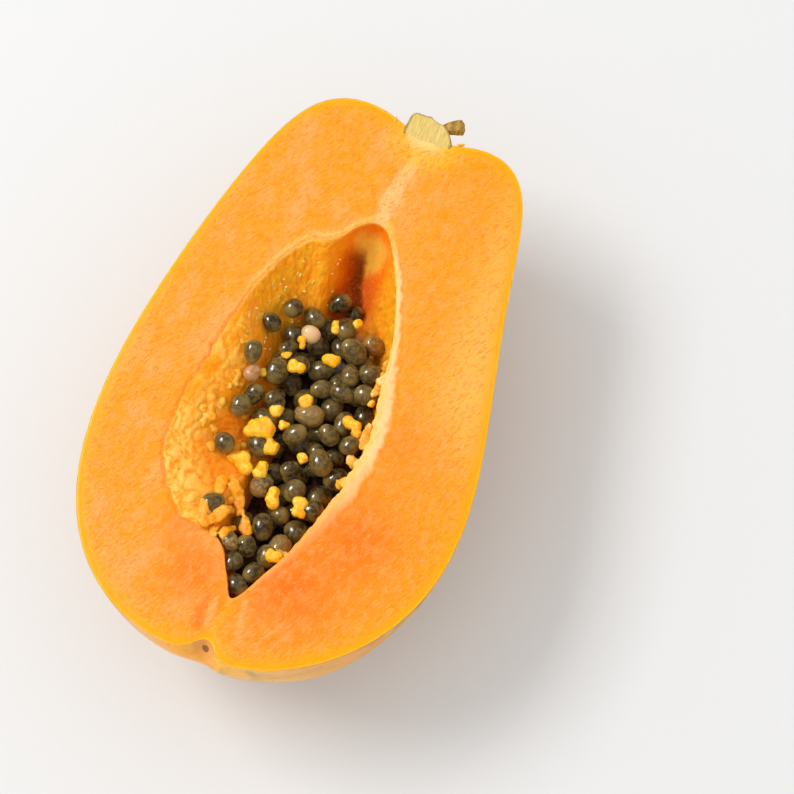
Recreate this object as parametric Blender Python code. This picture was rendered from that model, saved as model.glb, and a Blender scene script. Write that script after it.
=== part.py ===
"""Half of a ripe papaya, cut lengthwise through the stem and the blossom end.

It lies on its rounded back with the cut face up and level. +X is to the right of the
fruit's axis, +Y runs along the axis to the stem end and +Z is up. The origin is the
middle of the bounding box, on the surface that the fruit lies on.

Three solids: the flesh with its skin and seed cavity, the heap of seeds in the cavity,
and the halved stem stub in its notch. Sizes are millimetres until the last step, and
the fruit is drawn with its axis on Y and its cut face at z = 0.
"""

import math

import bmesh
import bpy
import numpy as np
from mathutils import Matrix, Vector

MM = 0.001
GAP = 0.4                     # clearance between two solids that touch

# The skin is three profiles along the axis, blended round the fruit: the rim left of
# the axis, the rim right of it and the keel underneath. A profile's radius is a cubic
# in s, from -1 at the blossom end to 1 at the stem end, times a superellipse whose
# fullness goes from the first value to the second. "ends" are the tips of the rounded
# shoulders, and "hollows" the radii of the dimple and of the stem notch.
BLOSSOM_Y = -82.4             # floor of the blossom dimple
STEM_Y = 82.0                 # floor of the stem notch
LEFT = {"cubic": (57.1, -9.0, 0.4, 4.6), "fullness": (2.83, 5.0),
        "ends": (-87.7, 87.8), "hollows": (5.2, 13.5)}
RIGHT = {"cubic": (50.7, -18.6, 4.8, 18.0), "fullness": (2.3, 3.3),
         "ends": (-87.5, 87.8), "hollows": (4.1, 15.9)}
KEEL = {"cubic": (55.6, -3.6, -1.6, -1.0), "fullness": (2.31, 3.6),
        "ends": (-88.6, 87.0), "hollows": (4.2, 14.5)}
# Towards the blossom end the skin swells between the keel and each rim.
SWELL = {"left": 5.2, "right": 6.7}
SWELL_AT = -0.75              # the value of s where it is greatest
SWELL_RUN = 0.2
SWELL_HOLLOW = 6.0            # radius inside which the dimple keeps its shape
LOBES = 5                     # faint ridges that run from end to end
LOBE_HEIGHT = 0.008           # of the local radius
FLAT_DEPTH = 0.8              # how much of the keel the resting spot takes off
STATIONS = 54                 # rings of points along the axis
SPOKES = 36                   # steps round the half turn from rim to rim
POLE_RADIUS = 9.0             # the stations crowd together inside this radius
POLE_CROWDING = 3.0
FINE_STEPS = 4001             # for measuring along a profile
CURVE_STEPS = 24              # between two points of a smooth loop
CRISP_DEGREES = 50            # edges sharper than this stay crisp

# The mouth of the seed cavity, clockwise from its upper tip.
MOUTH = ((-3.4, 50.9), (1.5, 47.4), (9.2, 33.4), (15.1, 15.7), (20.2, -8.4), (19.4, -24.8),
         (13.0, -47.3), (7.0, -59.8), (1.6, -69.0), (-2.8, -63.0), (-8.4, -55.2),
         (-20.3, -52.1), (-30.4, -43.7), (-35.1, -29.5), (-33.9, -7.0), (-29.3, 20.4),
         (-21.5, 37.0), (-13.6, 41.4), (-8.5, 48.3))
CAVITY_CENTRE = (-3.0, -10.0)
CAVITY_DEPTH = 27.0
# A wall falls as depth * (1 - t ** power) ** rise, t being 1 at the mouth and 0 at the
# centre. The right and lower walls are steep, the left one is a torn sloping shelf,
# and the upper ones fall into an empty hollow, the left of them at a gentler slope.
STEEP_WALL = (4.0, 0.5)
SHELF_WALL = (1.0, 1.5)
SLOPE_WALL = (1.6, 1.0)
UPPER_WALL = (2.2, 0.62)
SHELF_FROM_X = -4.0
SHELF_FULL_X = -18.0
UPPER_FROM_Y = 4.0
UPPER_FULL_Y = 26.0
SLOPE_FROM_X = -8.0
SLOPE_FULL_X = -17.0
CAVITY_SPOKES = 52
CAVITY_STEPS = (1.0, 0.985, 0.95, 0.9, 0.82, 0.72, 0.6, 0.46, 0.3, 0.15)
CUTTER_RISE = 4.0             # how far a cutter stands above the cut face

# The seeds lie in the cavity up to just below the cut face.
HEAP_TOP = 6.4                # depth of the heap's mean surface
HEAP_TIP_RISE = 2.6           # how much higher it is in the narrow lower tip
HEAP_TIP_FROM_Y = -38.0
HEAP_TIP_FULL_Y = -54.0
HEAP_SHRINK = 0.95            # the heap is the cavity, drawn in about its centre
HEAP_EDGE = 1.4               # least thickness, at the heap's edge
HEAP_SLOPE_FROM_Y = 12.0      # beyond this the heap falls away into the empty hollow
HEAP_SLOPE = 0.55
HEAP_END_Y = 34.0
HEAP_REACH_STEP = 0.004       # how finely the heap's edge is looked for
HEAP_BUMP = 1.0               # how far seeds stand out of the mean surface
BUMP_PITCH = 12.5
HEAP_SPOKES = 48
HEAP_TOP_STEPS = (1.0, 0.92, 0.84, 0.76, 0.68, 0.6, 0.52, 0.44, 0.36, 0.28, 0.2, 0.1)
HEAP_FLOOR_STEPS = (0.97, 0.9, 0.75, 0.55, 0.3)

# The stem stub is cut through with the fruit, so it is half round. Its rings are
# distance along the axis, half width and offset of the middle.
STEM_RINGS = ((76.6, 4.6, -1.3), (78.4, 6.6, -1.0), (81.0, 7.4, -0.7), (83.4, 7.6, -0.7),
              (85.4, 6.9, -1.1), (87.2, 6.1, -1.9), (88.5, 4.6, -2.7), (89.2, 2.6, -3.8))
STEM_SPOKES = 18
STEM_DEPTH = 0.95             # depth of the half round as part of its half width
BARK_RINGS = ((85.6, 1.3, 1.4), (87.4, 2.0, 3.4), (88.8, 2.4, 5.2), (90.2, 2.5, 7.0),
              (91.3, 1.7, 8.4))
BARK_SPOKES = 12
BARK_LEVEL = -0.9             # height of the bark's middle line over the cut face
BARK_LEAN = (0.62, -0.78)      # the rings of the bark lie across its own slanting line
BARK_TIP = (0.6, 0.4)         # how far its ends run on past the last rings
POCKET_RUN = 6.0              # how far the stem's pocket runs on past the stem's end


def remove_everything():
    for thing in list(bpy.data.objects):
        bpy.data.objects.remove(thing, do_unlink=True)


def profile(side, s):
    """Radius and place along the axis of one profile at s."""
    a, b, c, d = side["cubic"]
    low, high = side["ends"]
    along = 0.5 + 0.5 * s
    fullness = side["fullness"][0] * (1 - along) + side["fullness"][1] * along
    roundness = np.clip(1 - s * s, 0, 1) ** (1 / fullness)
    radius = roundness * (a + b * s + c * s**2 + d * s**3)
    dimple = (BLOSSOM_Y - low) * np.exp(-(radius / side["hollows"][0]) ** 2)
    notch = (high - STEM_Y) * np.exp(-(radius / side["hollows"][1]) ** 2)
    return radius, low + (high - low) * along + np.where(s < 0, dimple, -notch)


def stations(count):
    """Values of s evenly spaced along the keel, closer together at both ends."""
    turn = math.pi * (0.5 - 0.5 * np.cos(np.linspace(0, math.pi, FINE_STEPS)))
    s = -np.cos(turn)
    radius, y = profile(KEEL, s)
    step = np.hypot(np.diff(radius), np.diff(y))
    step = step * (1 + POLE_CROWDING * np.exp(-(radius[1:] / POLE_RADIUS) ** 2))
    length = np.concatenate(([0], np.cumsum(step)))
    return np.interp(np.linspace(0, length[-1], count + 2)[1:-1], length, s)


def skin_point(angle, s):
    """A point of the skin, with angle 0 on the right rim and pi on the left one."""
    across, down = math.cos(angle), math.sin(angle)
    side_radius, side_y = profile(RIGHT if across > 0 else LEFT, s)
    keel_radius, keel_y = profile(KEEL, s)
    lobe = 1 + LOBE_HEIGHT * math.sin(LOBES * angle)
    swell = SWELL["right" if across > 0 else "left"] * (2 * across * down) ** 2
    swell *= math.exp(-((s - SWELL_AT) / SWELL_RUN) ** 2)
    swell *= 1 - math.exp(-(side_radius / SWELL_HOLLOW) ** 2)
    y = side_y * across**2 + keel_y * down**2 - swell
    return Vector((side_radius * across * lobe, y, -keel_radius * down * lobe))


def mesh_object(name, bm):
    """Turn a closed bmesh into an object with smooth round sides and crisp edges."""
    bmesh.ops.recalc_face_normals(bm, faces=bm.faces)
    mesh = bpy.data.meshes.new(name)
    bm.to_mesh(mesh)
    bm.free()
    mesh.shade_smooth()
    mesh.set_sharp_from_angle(angle=math.radians(CRISP_DEGREES))
    thing = bpy.data.objects.new(name, mesh)
    bpy.context.collection.objects.link(thing)
    return thing


def skin(bm, rings, first_tip, last_tip):
    """Faces between rings of vertices that are closed round, with a tip at each end."""
    for low, high in zip(rings, rings[1:]):
        for i in range(len(low)):
            j = (i + 1) % len(low)
            bm.faces.new((low[i], low[j], high[j], high[i]))
    for ring, tip in ((rings[0], first_tip), (rings[-1], last_tip)):
        for i in range(len(ring)):
            bm.faces.new((ring[i], ring[(i + 1) % len(ring)], tip))


def ring_of(bm, points):
    return [bm.verts.new(p) for p in points]


def smooth_loop(points, count):
    """Points evenly spaced along a closed smooth curve through the given ones."""
    corners = np.array(points)
    before, after = np.roll(corners, 1, axis=0), np.roll(corners, -1, axis=0)
    slope = (after - before) / 2
    curve = []
    for i in range(len(corners)):
        a, b = corners[i], after[i]
        slope_a, slope_b = slope[i], slope[(i + 1) % len(corners)]
        for t in np.linspace(0, 1, CURVE_STEPS, endpoint=False):
            bend = slope_a * t * (1 - t) ** 2 - slope_b * t**2 * (1 - t)
            curve.append(a + (b - a) * t**2 * (3 - 2 * t) + bend)
    curve = np.array(curve + curve[:1])
    length = np.concatenate(([0], np.cumsum(np.linalg.norm(np.diff(curve, axis=0), axis=1))))
    wanted = np.linspace(0, length[-1], count, endpoint=False)
    return np.column_stack([np.interp(wanted, length, curve[:, k]) for k in range(2)])


def ramp(value, start, full):
    """0 at start, 1 at full, smooth between."""
    t = min(1.0, max(0.0, (value - start) / (full - start)))
    return t * t * (3 - 2 * t)


def cavity_depth(mouth, t):
    """Depth of the cavity at t along the line from its centre to a point of its mouth."""
    upper = ramp(mouth[1], UPPER_FROM_Y, UPPER_FULL_Y)
    shelf = ramp(mouth[0], SHELF_FROM_X, SHELF_FULL_X) * (1 - upper)
    slope = ramp(mouth[0], SLOPE_FROM_X, SLOPE_FULL_X) * upper
    weights = (1 - shelf - upper, shelf, slope, upper - slope)
    walls = (STEEP_WALL, SHELF_WALL, SLOPE_WALL, UPPER_WALL)
    fall = sum(w * (1 - t**power) ** rise for w, (power, rise) in zip(weights, walls))
    return CAVITY_DEPTH * fall


def from_centre(mouth, t):
    centre = Vector(CAVITY_CENTRE)
    return centre + (Vector(mouth) - centre) * t


def papaya_half():
    """The half fruit without its cavity: lofted skin, flat cut face, flat resting spot."""
    bm = bmesh.new()
    angles = [math.pi * i / SPOKES for i in range(SPOKES + 1)]
    blossom = bm.verts.new((0, BLOSSOM_Y, 0))
    stem = bm.verts.new((0, STEM_Y, 0))
    arcs = [ring_of(bm, [skin_point(a, s) for a in angles]) for s in stations(STATIONS)]
    for low, high in zip(arcs, arcs[1:]):
        for i in range(SPOKES):
            bm.faces.new((low[i], low[i + 1], high[i + 1], high[i]))
    for arc, tip in ((arcs[0], blossom), (arcs[-1], stem)):
        for i in range(SPOKES):
            bm.faces.new((arc[i], arc[i + 1], tip))
    right_rim = [arc[0] for arc in arcs]
    left_rim = [arc[-1] for arc in reversed(arcs)]
    bm.faces.new([blossom] + right_rim + [stem] + left_rim)
    floor = min(v.co.z for v in bm.verts) + FLAT_DEPTH
    everything = bm.verts[:] + bm.edges[:] + bm.faces[:]
    cut = bmesh.ops.bisect_plane(bm, geom=everything, plane_co=(0, 0, floor),
                                 plane_no=(0, 0, -1), clear_outer=True)
    cut_edges = [e for e in cut["geom_cut"] if isinstance(e, bmesh.types.BMEdge)]
    bmesh.ops.contextual_create(bm, geom=cut_edges)
    return mesh_object("papaya_half", bm)


def cavity_cutter():
    """What the seed cavity takes out of the flesh, standing up through the cut face."""
    bm = bmesh.new()
    mouth = smooth_loop(MOUTH, CAVITY_SPOKES)
    rings = [ring_of(bm, [(x, y, CUTTER_RISE) for x, y in mouth])]
    for t in CAVITY_STEPS:
        points = []
        for p in mouth:
            place = from_centre(p, t)
            points.append((place.x, place.y, -cavity_depth(p, t)))
        rings.append(ring_of(bm, points))
    top = bm.verts.new((*CAVITY_CENTRE, CUTTER_RISE))
    bottom = bm.verts.new((*CAVITY_CENTRE, -CAVITY_DEPTH))
    skin(bm, rings, top, bottom)
    return mesh_object("cavity_cutter", bm)


def heap_surface(x, y):
    """Depth of the top of the seed heap, bumpy with seeds."""
    slope = HEAP_SLOPE * max(0.0, y - HEAP_SLOPE_FROM_Y)
    tip = HEAP_TIP_RISE * ramp(y, HEAP_TIP_FROM_Y, HEAP_TIP_FULL_Y)
    across = math.sin(2 * math.pi * (x + 0.3 * y) / BUMP_PITCH)
    along = math.cos(2 * math.pi * (y - 0.2 * x) / BUMP_PITCH)
    return HEAP_TOP + slope - tip + HEAP_BUMP * across * along


def heap_floor(mouth, t):
    """A point under the heap: the cavity's wall, drawn in to leave a gap."""
    place = from_centre(mouth, t * HEAP_SHRINK)
    return Vector((place.x, place.y, -cavity_depth(mouth, t) * HEAP_SHRINK))


def heap_reach(mouth):
    """How far along t the heap is still thick enough, and short of the empty hollow."""
    reach = 1.0
    while True:
        floor = heap_floor(mouth, reach)
        thickness = -floor.z - heap_surface(floor.x, floor.y)
        if thickness >= HEAP_EDGE and floor.y <= HEAP_END_Y:
            return reach
        reach -= HEAP_REACH_STEP


def seed_heap():
    """The seeds as one solid with an uneven top, resting just clear of the cavity."""
    bm = bmesh.new()
    mouth = smooth_loop(MOUTH, HEAP_SPOKES)
    reach = [heap_reach(p) for p in mouth]
    rings = []
    for step in reversed(HEAP_TOP_STEPS):
        points = []
        for p, far in zip(mouth, reach):
            place = from_centre(p, step * far * HEAP_SHRINK)
            points.append((place.x, place.y, -heap_surface(place.x, place.y)))
        rings.append(ring_of(bm, points))
    for step in (1.0,) + HEAP_FLOOR_STEPS:
        rings.append(ring_of(bm, [heap_floor(p, step * far) for p, far in zip(mouth, reach)]))
    middle = heap_surface(*CAVITY_CENTRE)
    top = bm.verts.new((*CAVITY_CENTRE, -middle))
    bottom = bm.verts.new((*CAVITY_CENTRE, -CAVITY_DEPTH * HEAP_SHRINK))
    skin(bm, rings, top, bottom)
    return mesh_object("seed_heap", bm)


def half_round(name, rings, grow, rise):
    """A half-round rod cut along its axis. grow widens it, rise lifts its cut side."""
    bm = bmesh.new()
    angles = [math.pi * i / STEM_SPOKES for i in range(STEM_SPOKES + 1)]
    loops = []
    for y, half_width, middle in rings:
        wide = half_width + grow
        arc = [(middle + wide * math.cos(a), y, -wide * STEM_DEPTH * math.sin(a)) for a in angles]
        lid = [(middle - wide, y, rise), (middle + wide, y, rise)] if rise else []
        loops.append(ring_of(bm, arc + lid))
    for low, high in zip(loops, loops[1:]):
        for i in range(len(low)):
            j = (i + 1) % len(low)
            bm.faces.new((low[i], low[j], high[j], high[i]))
    bm.faces.new(loops[0])
    bm.faces.new(loops[-1])
    return mesh_object(name, bm)


def bark_strip():
    """The torn strip of bark at the stem's outer corner, a short bent finger."""
    bm = bmesh.new()
    rings = []
    for y, radius, x in BARK_RINGS:
        points = []
        for i in range(BARK_SPOKES):
            angle = 2 * math.pi * i / BARK_SPOKES
            across, up = radius * math.cos(angle), radius * math.sin(angle)
            points.append((x + across * BARK_LEAN[0], y + across * BARK_LEAN[1], BARK_LEVEL + up))
        rings.append(ring_of(bm, points))
    first, last = BARK_RINGS[0], BARK_RINGS[-1]
    start = bm.verts.new((first[2] - BARK_TIP[0], first[0] - BARK_TIP[1], BARK_LEVEL))
    end = bm.verts.new((last[2] + BARK_TIP[0], last[0] + BARK_TIP[1], BARK_LEVEL))
    skin(bm, rings, start, end)
    return mesh_object("bark_strip", bm)


def stem_stub():
    stub = half_round("stem_stub", STEM_RINGS, 0, 0)
    bark = bark_strip()
    combine(stub, bark, "UNION")
    return stub, bark


def stem_pocket():
    """The stem's seat in the flesh: the stub's lower end with a gap, open at the top."""
    first, last = STEM_RINGS[0], STEM_RINGS[-1]
    inner = (first[0] - GAP, *first[1:])
    outer = (last[0] + POCKET_RUN, *last[1:])
    return half_round("stem_pocket", (inner, *STEM_RINGS[1:], outer), GAP, CUTTER_RISE)


def combine(thing, other, operation):
    """Cut other out of thing, or join it on, and show other as a guide only."""
    change = thing.modifiers.new(other.name, "BOOLEAN")
    change.operation = operation
    change.solver = "EXACT"
    change.object = other
    other.hide_render = True
    other.display_type = "WIRE"


def plain_material(name, color, roughness):
    material = bpy.data.materials.new(name)
    material.use_nodes = True
    shader = material.node_tree.nodes["Principled BSDF"]
    shader.inputs["Base Color"].default_value = (*color, 1)
    shader.inputs["Roughness"].default_value = roughness
    shader.inputs["Metallic"].default_value = 0
    material.diffuse_color = (*color, 1)
    return material


def stand_on_origin(things):
    """Scale to metres, with the origin under the middle of the bounding box."""
    corners = np.array([v.co for thing in things for v in thing.data.vertices])
    low, high = corners.min(axis=0), corners.max(axis=0)
    shift = Vector((-(low[0] + high[0]) / 2, -(low[1] + high[1]) / 2, -low[2]))
    return Matrix.Scale(MM, 4) @ Matrix.Translation(shift)


def build():
    remove_everything()
    fruit = papaya_half()
    cavity = cavity_cutter()
    seeds = seed_heap()
    stub, bark = stem_stub()
    pocket = stem_pocket()
    place = stand_on_origin((fruit, seeds, stub, bark))
    for thing in (fruit, cavity, seeds, stub, bark, pocket):
        thing.data.transform(place)
    combine(fruit, cavity, "DIFFERENCE")
    combine(fruit, pocket, "DIFFERENCE")
    fruit.data.materials.append(plain_material("fruit", (0.95, 0.40, 0.05), 0.45))
    seeds.data.materials.append(plain_material("seeds", (0.09, 0.07, 0.04), 0.25))
    stub.data.materials.append(plain_material("stem", (0.78, 0.62, 0.22), 0.6))


build()
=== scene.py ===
"""The looks of the papaya half: flesh, skin, torn pulp, seeds and stem, lit in a plain studio.

Lengths are millimetres until a mesh is made. The fruit is drawn with its axis on Y and
its cut face at z = 0, and PLACE carries it to the frame of the CAD model.
"""

import math
from random import Random

import bmesh
import bpy
import numpy as np
from mathutils import Euler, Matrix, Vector, noise
from mathutils.bvhtree import BVHTree


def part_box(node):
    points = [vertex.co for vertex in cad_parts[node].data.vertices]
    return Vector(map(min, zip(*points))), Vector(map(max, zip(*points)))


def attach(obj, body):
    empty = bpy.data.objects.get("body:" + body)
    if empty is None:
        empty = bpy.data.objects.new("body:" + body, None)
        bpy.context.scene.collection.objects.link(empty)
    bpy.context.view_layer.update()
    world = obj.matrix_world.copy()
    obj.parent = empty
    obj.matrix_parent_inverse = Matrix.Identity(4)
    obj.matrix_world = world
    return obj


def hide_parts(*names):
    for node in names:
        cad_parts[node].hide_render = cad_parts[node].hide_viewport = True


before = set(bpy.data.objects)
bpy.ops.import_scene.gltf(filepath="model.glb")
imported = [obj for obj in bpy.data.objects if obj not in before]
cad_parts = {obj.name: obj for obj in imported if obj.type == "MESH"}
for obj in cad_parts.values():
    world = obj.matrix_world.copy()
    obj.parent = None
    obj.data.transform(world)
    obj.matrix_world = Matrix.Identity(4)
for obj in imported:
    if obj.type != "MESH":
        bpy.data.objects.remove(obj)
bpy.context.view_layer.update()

MM = 0.001

# ---------------------------------------------------------------- shape of the fruit
# The same driving sizes as the CAD model, which this mesh refines.
BLOSSOM_Y = -82.4
STEM_Y = 82.0
LEFT = {"cubic": (57.1, -9.0, 0.4, 4.6), "fullness": (2.83, 5.0),
        "ends": (-87.7, 87.8), "hollows": (5.2, 13.5)}
RIGHT = {"cubic": (50.7, -18.6, 4.8, 18.0), "fullness": (2.3, 3.3),
         "ends": (-87.5, 87.8), "hollows": (4.1, 15.9)}
KEEL = {"cubic": (55.6, -3.6, -1.6, -1.0), "fullness": (2.31, 3.6),
        "ends": (-88.6, 87.0), "hollows": (4.2, 14.5)}
SWELL_LEFT = 5.2
SWELL_RIGHT = 6.7
SWELL_AT = -0.75
SWELL_RUN = 0.2
SWELL_HOLLOW = 6.0
LOBES = 5
LOBE_HEIGHT = 0.008
FLAT_DEPTH = 0.8
POLE_RADIUS = 9.0
POLE_CROWDING = 1.5

MOUTH = ((-3.4, 50.9), (1.5, 47.4), (9.2, 33.4), (15.1, 15.7), (20.2, -8.4), (19.4, -24.8),
         (13.0, -47.3), (7.0, -59.8), (1.6, -69.0), (-2.8, -63.0), (-8.4, -55.2),
         (-20.3, -52.1), (-30.4, -43.7), (-35.1, -29.5), (-33.9, -7.0), (-29.3, 20.4),
         (-21.5, 37.0), (-13.6, 41.4), (-8.5, 48.3))
MOUTH_LOWER_TIP = 8           # which of these is the lower tip
CAVITY_CENTRE = np.array((-3.0, -10.0))
CAVITY_DEPTH = 27.0
STEEP_WALL = (4.0, 0.5)
SHELF_WALL = (1.0, 1.5)
SLOPE_WALL = (1.6, 1.0)
UPPER_WALL = (2.2, 0.62)
SHELF_FROM_X = -4.0
SHELF_FULL_X = -18.0
UPPER_FROM_Y = 4.0
UPPER_FULL_Y = 26.0
SLOPE_FROM_X = -8.0
SLOPE_FULL_X = -17.0

# Fineness of the mesh, and how far it keeps inside the CAD model.
STATIONS = 300                # points along each rim
SKIN_STEPS = 50               # round the back, from rim to rim
FACE_INNER = np.linspace(0.0, 6.0, 14)
FACE_OUTER = np.linspace(4.0, 0.45, 8)
FACE_MIDDLE = 15
RIM_GAP = 0.16                # the cut face stops this far inside the true outline
CAVITY_STEPS = 78
CAVITY_CROWDING = 1.2        # rings crowd together near the mouth
RIM_ANGLE = 0.006             # radians from the cut face to the skin's first row
SKIN_DENTS = 0.10             # mean depth
WALL_SUNK = 0.02              # the cavity's wall stays this far under the cut face
INSET = 0.12                  # keeps the finer mesh inside the CAD model's box
ENDS_INSET = 0.9985           # the same at both ends of the fruit


def srgb(red, green, blue):
    """A colour as seen on a screen, from 0 to 255, in the linear values that shaders use."""
    parts = np.array((red, green, blue), float) / 255
    return np.where(parts <= 0.04045, parts / 12.92, ((parts + 0.055) / 1.055) ** 2.4)


def ramp(value, start, full):
    """0 at start, 1 at full, smooth between. start may be the larger."""
    t = np.clip((np.asarray(value, float) - start) / (full - start), 0, 1)
    return t * t * (3 - 2 * t)


def bell(value, middle, width):
    """1 at the middle, falling off smoothly over the width."""
    return np.exp(-((np.asarray(value, float) - middle) / width) ** 2)


def field(points, size, octaves=3, seed=0.0):
    """Smooth noise at the given points, about -1 to 1. size is the width of a bump."""
    scale = 1 / np.broadcast_to(np.asarray(size, float), (3,))
    shift = np.array((seed * 7.3, seed * 3.1 + 11, seed * 5.7))
    cells = np.asarray(points, float).reshape(-1, 3) * scale + shift
    values = [noise.fractal(Vector(p), 0.9, 2.1, octaves) for p in cells]
    return np.array(values).reshape(np.shape(points)[:-1])


def waves(points, parts):
    """The sum of several fields, each given by its height, size, octaves and seed."""
    return sum(height * field(points, *rest) for height, *rest in parts)


def profile(side, s):
    """Radius and place along the fruit of one outline, from s = -1 at the blossom to 1 at the stem."""
    a, b, c, d = side["cubic"]
    low, high = side["ends"]
    along = 0.5 + 0.5 * s
    fullness = side["fullness"][0] * (1 - along) + side["fullness"][1] * along
    roundness = np.clip(1 - s * s, 0, 1) ** (1 / fullness)
    radius = roundness * (a + b * s + c * s**2 + d * s**3)
    dimple = (BLOSSOM_Y - low) * np.exp(-(radius / side["hollows"][0]) ** 2)
    notch = (high - STEM_Y) * np.exp(-(radius / side["hollows"][1]) ** 2)
    return radius, low + (high - low) * along + np.where(s < 0, dimple, -notch)


def stations(count):
    """Values of s evenly spaced along the keel, closer together at both ends."""
    turn = math.pi * (0.5 - 0.5 * np.cos(np.linspace(0, math.pi, 6001)))
    s = -np.cos(turn)
    radius, y = profile(KEEL, s)
    step = np.hypot(np.diff(radius), np.diff(y))
    step = step * (1 + POLE_CROWDING * np.exp(-(radius[1:] / POLE_RADIUS) ** 2))
    length = np.concatenate(([0], np.cumsum(step)))
    return np.interp(np.linspace(0, length[-1], count + 2)[1:-1], length, s)


def skin_points(angles, s):
    """Points of the skin, for every s along the first index and every angle along the second."""
    angle, s = np.meshgrid(angles, s)
    across, down = np.cos(angle), np.sin(angle)
    right_radius, right_y = profile(RIGHT, s)
    left_radius, left_y = profile(LEFT, s)
    side_radius = np.where(across > 0, right_radius, left_radius)
    side_y = np.where(across > 0, right_y, left_y)
    keel_radius, keel_y = profile(KEEL, s)
    lobe = 1 + LOBE_HEIGHT * np.sin(LOBES * angle)
    swell = np.where(across > 0, SWELL_RIGHT, SWELL_LEFT) * (2 * across * down) ** 2
    swell = swell * bell(s, SWELL_AT, SWELL_RUN) * (1 - bell(side_radius, 0, SWELL_HOLLOW))
    y = side_y * across**2 + keel_y * down**2 - swell
    return np.stack((side_radius * across * lobe, y, -keel_radius * down * lobe), axis=-1)


def smooth_curve(points, steps=60):
    """A dense closed curve through the given points, with so many steps between each two."""
    corners = np.array(points)
    after = np.roll(corners, -1, axis=0)
    slope = (after - np.roll(corners, 1, axis=0)) / 2
    t = np.linspace(0, 1, steps, endpoint=False)[:, None]
    curve = []
    for i in range(len(corners)):
        bend = slope[i] * t * (1 - t) ** 2 - slope[(i + 1) % len(corners)] * t**2 * (1 - t)
        curve.append(corners[i] + (after[i] - corners[i]) * t**2 * (3 - 2 * t) + bend)
    return np.concatenate(curve + [corners[:1]])


def along_curve(curve, fractions):
    """Points at the given fractions of a curve's length."""
    length = np.concatenate(([0], np.cumsum(np.linalg.norm(np.diff(curve, axis=0), axis=1))))
    wanted = np.asarray(fractions) * length[-1]
    return np.column_stack([np.interp(wanted, length, curve[:, k]) for k in range(curve.shape[1])])


def fractions_of(points):
    """How far along a line each of its points is, from 0 to 1."""
    length = np.concatenate(([0], np.cumsum(np.linalg.norm(np.diff(points, axis=0), axis=1))))
    return length / length[-1]


def wall_weights(mouth):
    """How much of the torn shelf, of the upper left slope and of the upper wall each ray has."""
    shelf = ramp(mouth[..., 0], SHELF_FROM_X, SHELF_FULL_X)
    upper = ramp(mouth[..., 1], UPPER_FROM_Y, UPPER_FULL_Y)
    slope = ramp(mouth[..., 0], SLOPE_FROM_X, SLOPE_FULL_X)
    return shelf * (1 - upper), upper * slope, upper * (1 - slope)


def cavity_depth(mouth, t):
    """Depth of the cavity at t on the way from its centre, 0, to the mouth, 1."""
    weights = wall_weights(mouth)
    walls = (STEEP_WALL, SHELF_WALL, SLOPE_WALL, UPPER_WALL)
    total = 0
    for weight, (power, rise) in zip((1 - sum(weights), *weights), walls):
        total = total + weight * np.clip(1 - t**power, 0, 1) ** rise
    return CAVITY_DEPTH * total


def rays():
    """Rim and mouth points, ray by ray: stem end, down the right rim, blossom end, up the left."""
    s = stations(STATIONS)
    rim = skin_points(np.array((0.0, math.pi)), s)
    right, left = rim[::-1, 0, :2], rim[:, 1, :2]
    stem, blossom = np.array([[0.0, STEM_Y]]), np.array([[0.0, BLOSSOM_Y]])
    outline = np.concatenate((stem, right, blossom, left))
    steps = 60
    curve = smooth_curve(MOUTH, steps)
    turn = MOUTH_LOWER_TIP * steps
    right_share = fractions_of(np.concatenate((stem, right, blossom)))
    left_share = fractions_of(np.concatenate((blossom, left, stem)))
    mouth = np.concatenate((along_curve(curve[: turn + 1], right_share)[:-1],
                            along_curve(curve[turn:], left_share)[:-1]))
    return s, outline, mouth


S, OUTLINE, SMOOTH_MOUTH = rays()
RAYS = len(OUTLINE)


def lip_weight(mouth):
    """1 on the right of the mouth, where the wall's pale lining stands up as a lip."""
    right = ramp(mouth[..., 0] - ramp(mouth[..., 1], -72, -55) * 4, -3.0, 3.0)
    return right * ramp(mouth[..., 1], -69, -58)


def on_face(plan):
    """Places in plan as points at the height of the cut face."""
    return np.concatenate((plan, np.zeros(plan.shape[:-1] + (1,))), axis=-1)


# Unevenness of the torn edge and of the lining: height, size, octaves and seed of each wave.
EDGE_WAVES = ((0.9, 6.0, 2, 61), (0.55, 2.4, 3, 62))
LINING_WAVES = ((0.7, 5.0, 2, 64), (0.45, 1.6, 3, 65))
LIP_OVERHANG = 1.4


def ragged_mouth():
    """The mouth with its torn left edge, scalloped upper left edge and overhanging right lip."""
    shelf, slope, _ = wall_weights(SMOOTH_MOUTH)
    flat = on_face(SMOOTH_MOUTH)
    ragged = waves(flat, EDGE_WAVES)
    scallops = 0.45 * np.abs(field(flat, 3.4, 1, 63))
    beside_seeds = ramp(SMOOTH_MOUTH[:, 1], 20, 4) * ramp(SMOOTH_MOUTH[:, 1], -64, -40)
    overhang = lip_weight(SMOOTH_MOUTH) * beside_seeds * (LIP_OVERHANG + waves(flat, LINING_WAVES))
    out = SMOOTH_MOUTH - CAVITY_CENTRE
    out = out / np.linalg.norm(out, axis=1, keepdims=True)
    reach = (shelf + 0.5 * slope) * ragged + slope * scallops - overhang
    return SMOOTH_MOUTH + out * reach[:, None]


MOUTH_RAYS = ragged_mouth()


def closed_mesh(name, points, faces):
    """An object from millimetre points in the fruit's own axes."""
    mesh = bpy.data.meshes.new(name)
    flat = np.asarray(points, float).reshape(-1, 3)
    placed = flat * MM + PLACE
    mesh.from_pydata(placed.tolist(), [], faces)
    body = bmesh.new()
    body.from_mesh(mesh)
    bmesh.ops.recalc_face_normals(body, faces=body.faces)
    body.to_mesh(mesh)
    body.free()
    mesh.shade_smooth()
    thing = bpy.data.objects.new(name, mesh)
    bpy.context.collection.objects.link(thing)
    return thing


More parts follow.
